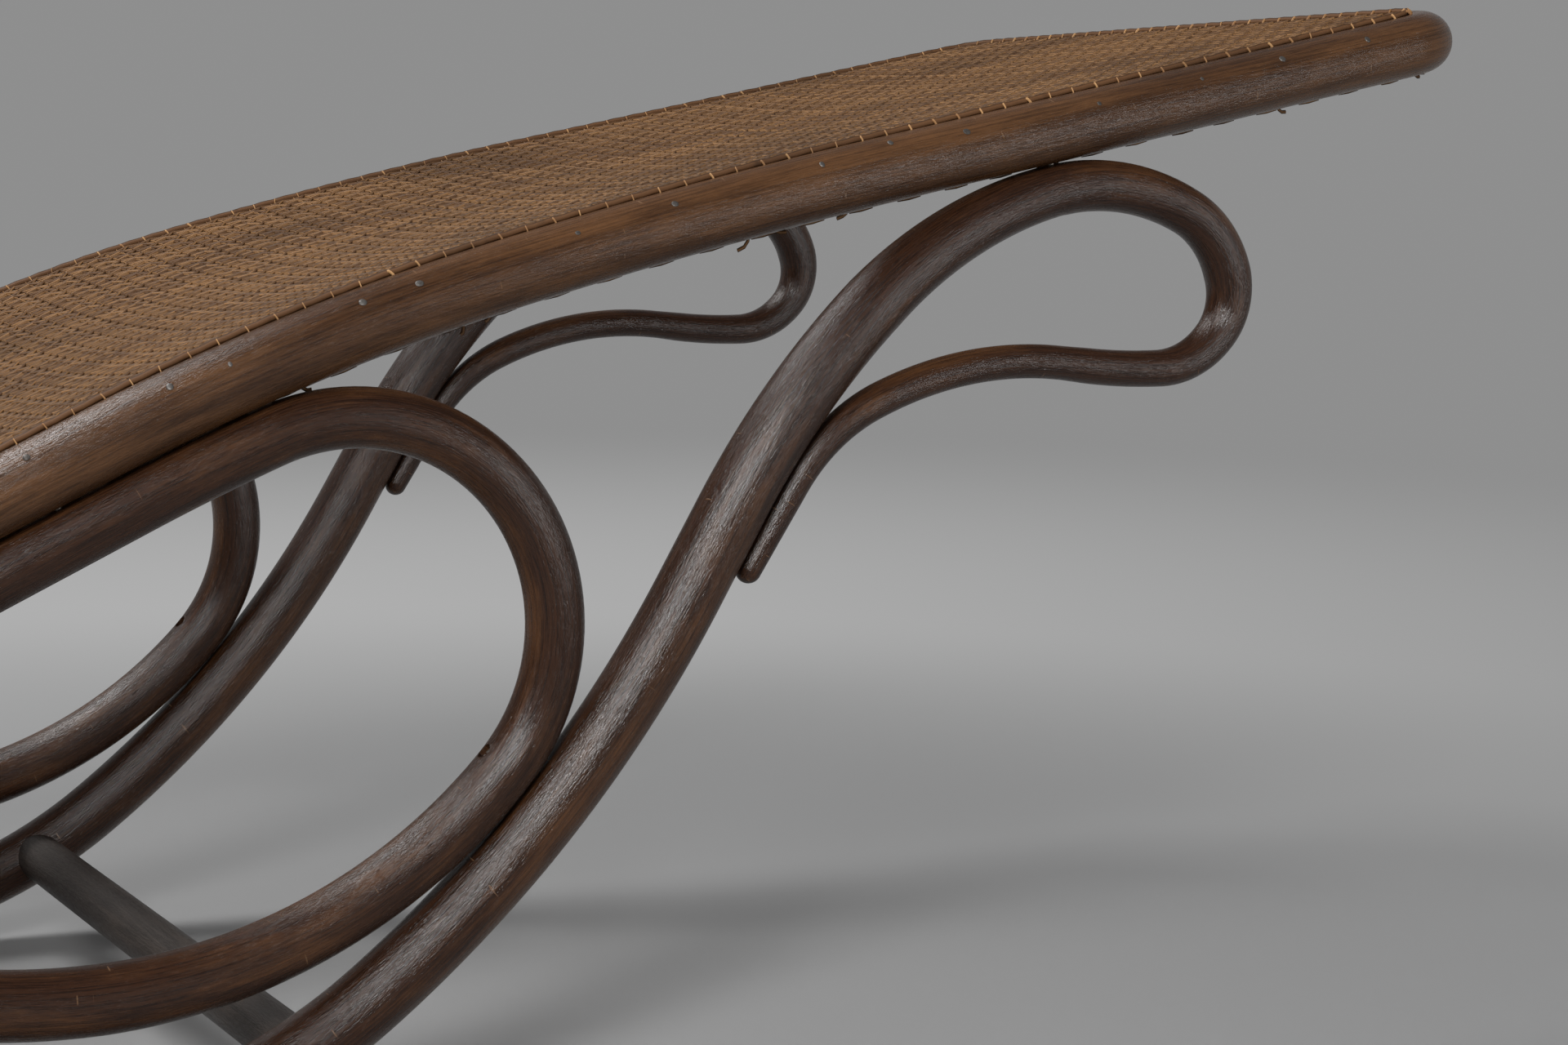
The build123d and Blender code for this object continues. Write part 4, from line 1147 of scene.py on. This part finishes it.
@dataclass
class Joinery:
    """All round members of wood."""

    lines: ChaiseLines
    palette: Palette
    tree: GrowTree = field(default_factory=rod_tree)
    sides: int = 40
    bar_thick: float = 31.0
    back_rail_thick: float = 26.0
    bar_short: float = 10.0
    back_rail_short: float = 8.0

    def rod(self, name: str, line: RodLine, wood: bpy.types.Material | None = None) -> bpy.types.Object:
        """A rod of wood along a line."""
        mesh = line_mesh(name, [line.points], {"rod_radius": [line.radii * MM]})
        return self.tree.grow(name, mesh, {"Sides": self.sides, "Material": wood or self.palette.wood})

    @staticmethod
    def drill(piece: bpy.types.Object, bores: Sequence[Bore]) -> bpy.types.Object:
        """Cuts holes into a piece."""
        shape = bmesh.new()
        for bore in bores:
            bore.cut_into(shape)
        cutters = bpy.data.meshes.new(piece.name + "_cutters")
        shape.to_mesh(cutters)
        shape.free()
        cutter = linked(cutters.name, cutters)
        modifier = piece.modifiers.new("drill", "BOOLEAN")
        modifier.operation, modifier.solver, modifier.object = "DIFFERENCE", "EXACT", cutter
        mesh = evaluated(piece, piece.name)
        piece.modifiers.remove(modifier)
        piece.data = mesh
        bpy.data.objects.remove(cutter)
        return piece

    def build_side(self, side: Side) -> None:
        """The runner, scroll and arm of one side."""
        lines, y, word = self.lines, side.value * self.lines.half_width, side.word
        for name, line, bores, node in (
            ("bent_runner", lines.runner(y), lines.runner_bores(y), "runner"),
            ("bent_scroll", lines.scroll(y), lines.scroll_bores(y), "side_scroll"),
            ("bent_arm", lines.arm(side.value * lines.arm_y), lines.arm_bores(side), "arm"),
        ):
            piece = self.drill(self.rod(f"{name}_{word}", line), bores)
            settle(piece, "frame", "bentwood", f"{node}_{word}")

    def build_seat(self) -> None:
        """The seat rail and the bars across."""
        rail = self.rod("bent_seat_rail", self.lines.rail(), self.palette.rubbed)
        settle(rail, "frame", "bentwood", "seat_frame")
        inner = self.lines.half_width - self.bar_short
        wood, dusty = self.palette.wood, self.palette.dusty
        for name, place, thick, finish in (
            ("hip_rail", self.lines.hip_bar.place, self.lines.hip_thick, wood),
            ("front_stretcher", self.lines.front_bar.place, self.bar_thick, dusty),
            ("rear_stretcher", self.lines.rear_bar.place, self.bar_thick, dusty),
        ):
            bar = self.rod("turned_" + name, self.lines.bar(place, inner, thick), finish)
            settle(bar, "frame", "bentwood", name)

    def build_back(self) -> None:
        """The back's frame and its lower rail."""
        settle(self.rod("bent_back_frame", self.lines.back_frame()), "back", "bentwood", "back_frame")
        x, _, z = self.lines.back_point(self.lines.back_rail_from_pivot, 0.0)
        inner = self.lines.back_width / 2 - self.back_rail_short
        rail = self.lines.bar((x, z), inner, self.back_rail_thick)
        settle(self.rod("turned_back_rail", rail), "back", "bentwood", "back_rail")


@dataclass
class CanePanel:
    """A hand-woven panel, laid out flat and then bent over its frame."""

    name: str
    node: str
    body: str
    half: float
    start: float
    end: float
    corner: float
    sag: float
    guide: np.ndarray
    rail_depth: float
    palette: Palette
    tree: GrowTree
    pitch: float = 16.4
    strand_wide: float = 1.8
    strand_thick: float = 0.8
    slant_wide: float = 1.9
    edge_wide: float = 4.4
    edge_thick: float = 1.3
    tie_wide: float = 2.4
    under_wide: float = 2.3
    lift: float = 0.5
    slant_lift: float = 1.45
    margin: float = 0.5
    drift: float = 0.22
    waver: float = 0.25
    waver_length: float = 90.0
    frayed_share: float = 0.14
    binder_low: float = 0.75
    binder_high: float = 1.15
    tie_foot: float = 0.9
    tie_shoulder: float = 0.6
    tie_top: float = 2.0
    seed: int = 5

    # Share of a step and depth under the rail of a bridge between two holes
    BRIDGE = ((0.0, -1.5), (0.06, 0.6), (0.5, 0.9), (0.94, 0.6), (1.0, -1.5))

    def __post_init__(self) -> None:
        """Fits whole steps of the weave into the panel and starts the fixed seed."""
        self.length = self.end - self.start
        self.rows = round(2 * self.length / self.pitch)
        self.columns = round(4 * self.half / self.pitch)
        self.row_step = self.length / self.rows
        self.column_step = 2 * self.half / self.columns
        self.chance = np.random.default_rng(self.seed)

    def inside(self, u: np.ndarray, v: np.ndarray) -> np.ndarray:
        """Whether flat places lie in the panel, whose far corners are rounded."""
        radius = max(self.corner - self.margin, 0.1)
        du = np.maximum(self.start + self.margin + radius - u, 0.0)
        dv = np.maximum(np.abs(v) - (self.half - self.margin - radius), 0.0)
        return (du**2 + dv**2 <= radius**2 + 1e-6) & (u <= self.end - self.margin + 1e-6)

    def courses(self, strand: Strand) -> list[np.ndarray]:
        """The flat lines of one course.

        Args:
            strand: Which course.

        Returns:
            The lines as arrays of distance along, distance across and height.
        """
        makers = {Strand.EDGE: self.edge_lines, Strand.TIES: self.tie_lines, Strand.UNDER: self.under_lines}
        if strand in makers:
            return makers[strand]()
        if strand in (Strand.ALONG, Strand.ACROSS):
            return self.straight_lines(strand is Strand.ALONG)
        return self.slant_lines(1 if strand is Strand.SLANT_UP else -1)

    def straight_lines(self, along: bool) -> list[np.ndarray]:
        """The strands from foot to hip, or else from side to side, over and under at every crossing."""
        grid = [(self.start, self.row_step, self.rows), (-self.half, self.column_step, self.columns)]
        (low, step, count), (side_low, side_step, side_count) = grid if along else grid[::-1]
        reach = low + np.arange(2 * count + 1) * step / 2
        lines = []
        for index in range(side_count):
            offset = np.full_like(reach, side_low + (index + 0.5) * side_step)
            drift = self.chance.normal(0, self.drift)
            drift = drift + self.waver * np.sin(reach / self.waver_length + self.chance.uniform(0, 6.3))
            wave = self.lift * np.cos((np.arange(len(reach)) + 2 * index) * math.pi / 2)
            height = np.roll(wave, 1) * (1 if along else -1)
            u, v = (reach, offset + drift) if along else (offset + drift, reach)
            keep = self.inside(reach, offset) if along else self.inside(offset, reach)
            lines.append(np.column_stack([u, v, height])[keep])
        return lines

    def slant_lines(self, way: int) -> list[np.ndarray]:
        """The slanting strands of one direction, through every second crossing."""
        lines = []
        steps = np.arange(-2 * self.rows, 4 * self.rows + 1)
        last = 2 * (self.rows + self.columns)
        for first in range(-last, last + 1, 4):
            u_index = way * steps + first + (0 if way > 0 else 2 * self.columns)
            u = self.start + (u_index + 1) * self.row_step / 2
            v = -self.half + (steps + 1) * self.column_step / 2
            keep = self.inside(u, v)
            if keep.sum() < 3:
                continue
            height = self.slant_lift * self.lift * np.cos(steps * math.pi / 2) * way
            lines.append(np.column_stack([u, v, height])[keep])
        return lines

    def outline(self) -> np.ndarray:
        """The panel's edge as a closed line of flat places."""
        radius = max(self.corner, 1.0)
        places = [(self.end, self.half)]
        for sign in (1, -1):
            for angle in np.linspace(0, math.pi / 2, 10):
                turn = angle if sign > 0 else math.pi / 2 - angle
                u = self.start + radius - radius * math.sin(turn)
                places.append((u, sign * (self.half - radius + radius * math.cos(turn))))
        places += [(self.end, -self.half), (self.end, self.half)]
        return np.array(places)

    def walked(self, step: float) -> np.ndarray:
        """Even places along the panel's edge."""
        outline = self.outline()
        lengths = np.concatenate([[0.0], np.cumsum(np.linalg.norm(np.diff(outline, axis=0), axis=1))])
        marks = np.linspace(0, lengths[-1], max(4, round(lengths[-1] / step)) + 1)
        return np.column_stack([np.interp(marks, lengths, outline[:, axis]) for axis in (0, 1)])

    def edge_lines(self) -> list[np.ndarray]:
        """The flat binder over the edge holes."""
        places = self.walked(self.pitch / 2)
        height = np.where(np.arange(len(places)) % 2 == 0, self.binder_low, self.binder_high)
        return [np.column_stack([places, height])]

    def edge_frames(self) -> list[tuple[np.ndarray, np.ndarray, np.ndarray]]:
        """The edge holes, each with the way along the edge and the way out of the panel."""
        places = self.walked(self.pitch)
        frames = []
        for index in range(len(places) - 1):
            along = places[(index + 1) % (len(places) - 1)] - places[index - 1 if index else -2]
            along = along / np.linalg.norm(along)
            frames.append((places[index], along, np.array([along[1], -along[0]])))
        return frames

    def tie_lines(self) -> list[np.ndarray]:
        """The small loops that tie the binder down at each edge hole."""
        lines = []
        half, foot, shoulder, top = self.edge_wide / 2, self.tie_foot, self.tie_shoulder, self.tie_top
        rising = ((half + foot, -foot), (half, shoulder), (foot, top))
        profile = [(-offset, height) for offset, height in rising] + list(rising[::-1])
        for place, along, out in self.edge_frames():
            lean = along * self.chance.normal(0.0, 0.5)
            lines.append(np.array([
                (*(place + out * offset + lean * offset / half), height) for offset, height in profile
            ]))
        return lines

    def under_lines(self) -> list[np.ndarray]:
        """The bridges between holes under the rail, and the frayed ends that hang there."""
        lines = []
        deep = -2 * self.rail_depth
        for index, (place, along, out) in enumerate(self.edge_frames()):
            step = along * self.pitch
            if index % 2 == 0:
                slip = out * self.chance.normal(0.0, 0.8)
                lines.append(np.array([
                    (*(place + step * share + slip), deep - rise) for share, rise in self.BRIDGE
                ]))
            if self.chance.random() < self.frayed_share:
                lines.append(self.frayed_end(place, along, out, deep))
        return lines

    def frayed_end(self, place: np.ndarray, along: np.ndarray, out: np.ndarray, deep: float) -> np.ndarray:
        """A loose end under the rail: out of its hole, down and along."""
        way = self.chance.choice([-1.0, 1.0])
        drop = self.chance.uniform(2.0, 5.5)
        reach = self.chance.uniform(3.0, 11.0)
        swing = self.chance.uniform(-2.0, 4.0)
        profile = ((0.0, 1.5, 0.0), (0.15, -0.35 * drop, 0.1), (0.5, -0.85 * drop, 0.5), (1.0, -drop, 1.0))
        return np.array([
            (*(place + along * way * reach * share + out * swing * sway), deep + height)
            for share, height, sway in profile
        ])

    def wrapped(self, flat: np.ndarray) -> np.ndarray:
        """Flat places bent over the frame.

        Args:
            flat: Distance along, distance across and height, in metres.

        Returns:
            Places in space, in metres.
        """
        u, v, h = (flat / MM).T
        x, z, lean = (np.interp(u, self.guide[:, 0], self.guide[:, column]) for column in (1, 2, 3))
        share = np.clip((u - self.start) / self.length, 0, 1)
        dip = self.sag * np.sin(math.pi * share) * np.maximum(1 - (v / self.half) ** 2, 0)
        lift = h + self.rail_depth - dip
        return np.column_stack([x + lift * np.cos(lean), v, z + lift * np.sin(lean)]) * MM

    def build(self) -> None:
        """Weaves, bends and settles every course."""
        widths = {
            Strand.SLANT_UP: (self.slant_wide, self.strand_thick),
            Strand.SLANT_DOWN: (self.slant_wide, self.strand_thick),
            Strand.EDGE: (self.edge_wide, self.edge_thick),
            Strand.TIES: (self.tie_wide, self.strand_thick),
            Strand.UNDER: (self.under_wide, self.strand_thick),
        }
        finishes = {Strand.EDGE: self.palette.binder, Strand.TIES: self.palette.ties}
        for strand in Strand:
            lines = self.courses(strand)
            tones = [np.full(len(line), self.chance.uniform(0, 1)) for line in lines]
            name = f"{self.name}_{strand.value}"
            wide, thick = widths.get(strand, (self.strand_wide, self.strand_thick))
            mesh = line_mesh(name, lines, {"strand_tone": tones})
            material = finishes.get(strand, self.palette.cane)
            piece = self.tree.grow(name, mesh, {"Wide": wide * MM, "Thick": thick * MM, "Material": material})
            flat = np.empty(len(piece.data.vertices) * 3)
            piece.data.vertices.foreach_get("co", flat)
            piece.data.vertices.foreach_set("co", self.wrapped(flat.reshape(-1, 3)).ravel())
            piece.data.update()
            settle(piece, self.body, "cane", *([self.node] if strand is Strand.ALONG else []))


@dataclass
class Caning:
    """The two caned panels and how they lie on their frames."""

    lines: ChaiseLines
    palette: Palette
    tree: GrowTree = field(default_factory=cane_tree)
    seat_inset: float = 6.0
    back_inset: float = 6.0
    seat_sag: float = 18.0
    back_sag: float = 10.0
    rise: float = 0.8
    beyond: float = 60.0
    hip_gap: float = 8.0
    back_over: float = 6.5

    GUIDE_STEP = 4.0

    def seat_guide(self) -> np.ndarray:
        """The rail's line as distance, place and the angle of the panel's normal."""
        gone, station = 0.0, self.lines.seat_start
        marks = [(-self.beyond, station.after(run(-self.beyond, 0.0)))]
        for leg in self.lines.seat_legs:
            count = max(2, math.ceil(leg.reach / self.GUIDE_STEP))
            for index in range(count):
                marks.append((gone + leg.reach * index / count, station.after(leg, index / count)))
            station, gone = station.after(leg), gone + leg.reach
        marks.append((gone, station))
        return np.array([(far, here.x, here.z, math.radians(here.heading - 90.0)) for far, here in marks])

    def back_guide(self) -> np.ndarray:
        """The back's plane in the same form, measured from its head."""
        lines = self.lines
        rows = []
        for gone in (-self.beyond, lines.back_length + self.beyond):
            x, _, z = lines.back_point(lines.back_length - gone, 0.0)
            rows.append((gone, x, z, math.radians(90.0 - lines.back_angle)))
        return np.array(rows)

    def build(self) -> None:
        """Both panels."""
        lines = self.lines
        hip_reach = sum(leg.reach for leg in [lines.foot_leg] + lines.knee_legs + [lines.thigh_leg])
        hip_reach += lines.hip_radius * math.radians(lines.hip_turn_left) - self.hip_gap
        seat_depth = math.sqrt((lines.rail_thick / 2) ** 2 - self.seat_inset**2) + self.rise
        CanePanel(
            "seat_weave", "seat_cane", "frame", lines.half_width - self.seat_inset,
            self.seat_inset - lines.foot_corner, hip_reach, lines.foot_corner - self.seat_inset, self.seat_sag,
            self.seat_guide(), seat_depth, self.palette, self.tree, seed=5,
        ).build()
        back_depth = math.sqrt((lines.back_thick / 2) ** 2 - self.back_inset**2) + self.rise
        CanePanel(
            "back_weave", "back_cane", "back", lines.back_width / 2 - self.back_inset,
            self.back_inset, lines.back_length - lines.back_rail_from_pivot + self.back_over,
            lines.back_corner - self.back_inset, self.back_sag,
            self.back_guide(), back_depth, self.palette, self.tree, seed=11,
        ).build()


def tack_tree() -> GrowTree:
    """A tree that sets a low dome on every point, square to the attribute out.

    Returns:
        The tree, with the inputs Seed and Flat.
    """
    tree = GrowTree("rail_tack", {"Seed": "NodeSocketInt", "Flat": "NodeSocketFloat"})
    points = tree.node("GeometryNodeMeshToPoints", None, {"Mesh": tree.inputs["Geometry"]})
    dome = tree.node("GeometryNodeMeshUVSphere", None, {"Segments": 14, "Rings": 8, "Radius": 1.0})
    size = tree.attribute("tack_radius")
    out = tree.attribute("out", "FLOAT_VECTOR")
    spin = tree.node("FunctionNodeAlignRotationToVector", {"axis": "Z"}, {"Vector": out})
    stretch = tree.node(
        "FunctionNodeRandomValue", {"data_type": "FLOAT"}, {2: 0.75, 3: 1.25, "Seed": tree.inputs["Seed"]}
    )
    wide, low = tree.math("MULTIPLY", size, stretch.outputs[1]), tree.math("MULTIPLY", size, tree.inputs["Flat"])
    scale = tree.node("ShaderNodeCombineXYZ", None, {0: wide, 1: size, 2: low})
    placed = tree.node(
        "GeometryNodeInstanceOnPoints", None,
        {
            "Points": points.outputs[0], "Instance": dome.outputs[0],
            "Rotation": spin.outputs[0], "Scale": scale.outputs[0],
        },
    )
    tree.close(placed.outputs[0])
    return tree


@dataclass
class Tacks:
    """The heads of old tacks along the outer shoulder of the seat rail."""

    lines: ChaiseLines
    material: bpy.types.Material
    shoulder: float = 50.0
    least_apart: float = 28.0
    most_apart: float = 95.0
    first: float = 40.0
    short_of_end: float = 60.0
    wobble: float = 4.0
    least_radius: float = 1.2
    most_radius: float = 2.4
    flat: float = 0.22
    seed: int = 23

    def build(self) -> None:
        """Both sides, at uneven distances."""
        chance = np.random.default_rng(self.seed)
        lines = self.lines
        last = sum(leg.reach for leg in lines.seat_legs) - self.short_of_end
        places, ways, sizes = [], [], []
        for side in Side:
            gone = self.first
            while gone < last:
                start, left = lines.seat_start, gone
                for leg in lines.seat_legs:
                    if left <= leg.reach:
                        break
                    start, left = start.after(leg), left - leg.reach
                here = start.after(leg, left / leg.reach)
                lean = math.radians(self.shoulder + chance.normal(0.0, self.wobble))
                up = aim(here.heading - 90.0)
                way = (up[0] * math.cos(lean), side.value * math.sin(lean), up[1] * math.cos(lean))
                centre = np.array((here.x, side.value * lines.half_width, here.z))
                places.append(centre + np.array(way) * lines.rail_thick / 2)
                ways.append(way)
                sizes.append(chance.uniform(self.least_radius, self.most_radius) * MM)
                gone += chance.uniform(self.least_apart, self.most_apart)
        mesh = bpy.data.meshes.new("rail_tack_points")
        mesh.from_pydata((np.array(places) * MM).tolist(), [], [])
        mesh.attributes.new("out", "FLOAT_VECTOR", "POINT").data.foreach_set("vector", np.array(ways).ravel())
        mesh.attributes.new("tack_radius", "FLOAT", "POINT").data.foreach_set("value", sizes)
        values = {"Seed": self.seed, "Flat": self.flat, "Material": self.material}
        piece = tack_tree().grow("rail_tacks", mesh, values)
        settle(piece, "frame", "iron")


@dataclass
class Fittings:
    """The metal pieces, which keep their solids and take a finish."""

    palette: Palette

    def dress(self) -> None:
        """Paints every solid that is still shown."""
        paints = {"iron": self.palette.iron, "steel": self.palette.steel, "brass": self.palette.brass}
        slots = {row["node"]: row["material_slot"] for row in frame["record"]["subparts"]}
        for name, solid in frame["nodes"].items():
            if solid.hide_render:
                continue
            solid.data.materials.clear()
            solid.data.materials.append(paints.get(slots[name], self.palette.wood))
            LOG.info("%s keeps its solid", name)


@dataclass(frozen=True)
class Lamp:
    """A square soft lamp: its place, what it looks at, its side in metres and its power in watts."""

    name: str
    place: tuple[float, float, float]
    target: tuple[float, float, float]
    size: float
    power: float

    def hang(self) -> None:
        """Puts the lamp into the scene."""
        lamp = bpy.data.lights.new(self.name, "AREA")
        lamp.shape, lamp.size, lamp.energy = "SQUARE", self.size, self.power
        holder = linked(self.name, lamp)
        holder.location = self.place
        holder.rotation_mode = "QUATERNION"
        holder.rotation_quaternion = (Vector(self.target) - Vector(self.place)).to_track_quat("-Z", "Y")


@dataclass
class Studio:
    """The pale floor, the soft light and the camera."""

    floor_radius: float = 8.0
    rim_radius: float = 16.0
    rim_height: float = 9.0
    lens: float = 69.02
    yaw: float = 28.51
    pitch: float = 6.50
    eye: tuple[float, float, float] = (-0.3209, -1.77375, 0.5243)
    sky: Colour = (0.62, 0.63, 0.65)
    sky_strength: float = 0.24
    lamps: tuple[Lamp, ...] = (
        Lamp("key_lamp", (-1.9, -3.3, 2.7), (0.2, 0.0, 0.3), 1.4, 180.0),
        Lamp("side_lamp", (2.6, -3.4, 0.5), (0.3, 0.0, 0.3), 0.9, 26.0),
        Lamp("top_lamp", (-1.1, 1.5, 3.7), (0.2, 0.0, 0.2), 1.3, 120.0),
    )

    FLOOR_FACETS = 72
    SWEEP_RINGS = 12

    def build_floor(self) -> None:
        """A round floor that sweeps up into its own backdrop."""
        rings = [(2.0, 0.0), (4.0, 0.0), (self.floor_radius, 0.0)]
        for angle in np.linspace(0, 1, self.SWEEP_RINGS + 1)[1:] * math.pi / 2:
            radius = self.floor_radius + (self.rim_radius - self.floor_radius) * math.sin(angle)
            rings.append((radius, self.rim_height * (1 - math.cos(angle))))
        count = self.FLOOR_FACETS
        points = [(0.0, 0.0, 0.0)]
        faces = []
        for radius, height in rings:
            for index in range(count):
                angle = 2 * math.pi * index / count
                points.append((radius * math.cos(angle), radius * math.sin(angle), height))
        for index in range(count):
            follow = (index + 1) % count
            faces.append((0, 1 + index, 1 + follow))
            for ring in range(len(rings) - 1):
                inner, outer = 1 + ring * count, 1 + (ring + 1) * count
                faces.append((inner + index, outer + index, outer + follow, inner + follow))
        mesh = bpy.data.meshes.new("studio_floor")
        mesh.from_pydata(points, [], faces)
        mesh.polygons.foreach_set("use_smooth", [True] * len(mesh.polygons))
        mesh.materials.append(Paper().paint())
        floor = linked("studio_floor", mesh)

    def build_light(self) -> None:
        """The soft lamps and an even sky."""
        for lamp in self.lamps:
            lamp.hang()
        world = bpy.data.worlds.new("studio_sky")
        world.use_nodes = True
        sky = world.node_tree.nodes["Background"]
        sky.inputs["Color"].default_value = (*self.sky, 1.0)
        sky.inputs["Strength"].default_value = self.sky_strength
        bpy.context.scene.world = world

    def build_camera(self) -> None:
        """The camera, where the photograph was taken from."""
        lens = bpy.data.cameras.new("view")
        lens.lens, lens.sensor_width, lens.sensor_fit = self.lens, 36.0, "HORIZONTAL"
        lens.clip_start = 0.05
        camera = linked("view", lens)
        yaw, pitch = math.radians(self.yaw), math.radians(self.pitch)
        ahead = Vector((math.sin(yaw) * math.cos(pitch), math.cos(yaw) * math.cos(pitch), -math.sin(pitch)))
        camera.rotation_mode = "QUATERNION"
        camera.location = self.eye
        camera.rotation_quaternion = ahead.to_track_quat("-Z", "Y")
        bpy.context.scene.camera = camera

    def build(self) -> None:
        """Everything that isn't the chaise."""
        self.build_floor()
        self.build_light()
        self.build_camera()
        bpy.context.scene.view_settings.view_transform = "Standard"


def main() -> None:
    """Builds the chaise piece by piece."""
    logging.basicConfig(level=logging.INFO, format="%(name)s %(message)s")
    lines = ChaiseLines()
    palette = Palette()
    joinery = Joinery(lines, palette)
    for side in Side:
        joinery.build_side(side)
    joinery.build_seat()
    joinery.build_back()
    Caning(lines, palette).build()
    Tacks(lines, palette.iron).build()
    Fittings(palette).dress()
    Studio().build()


if __name__ == "__main__":
    main()
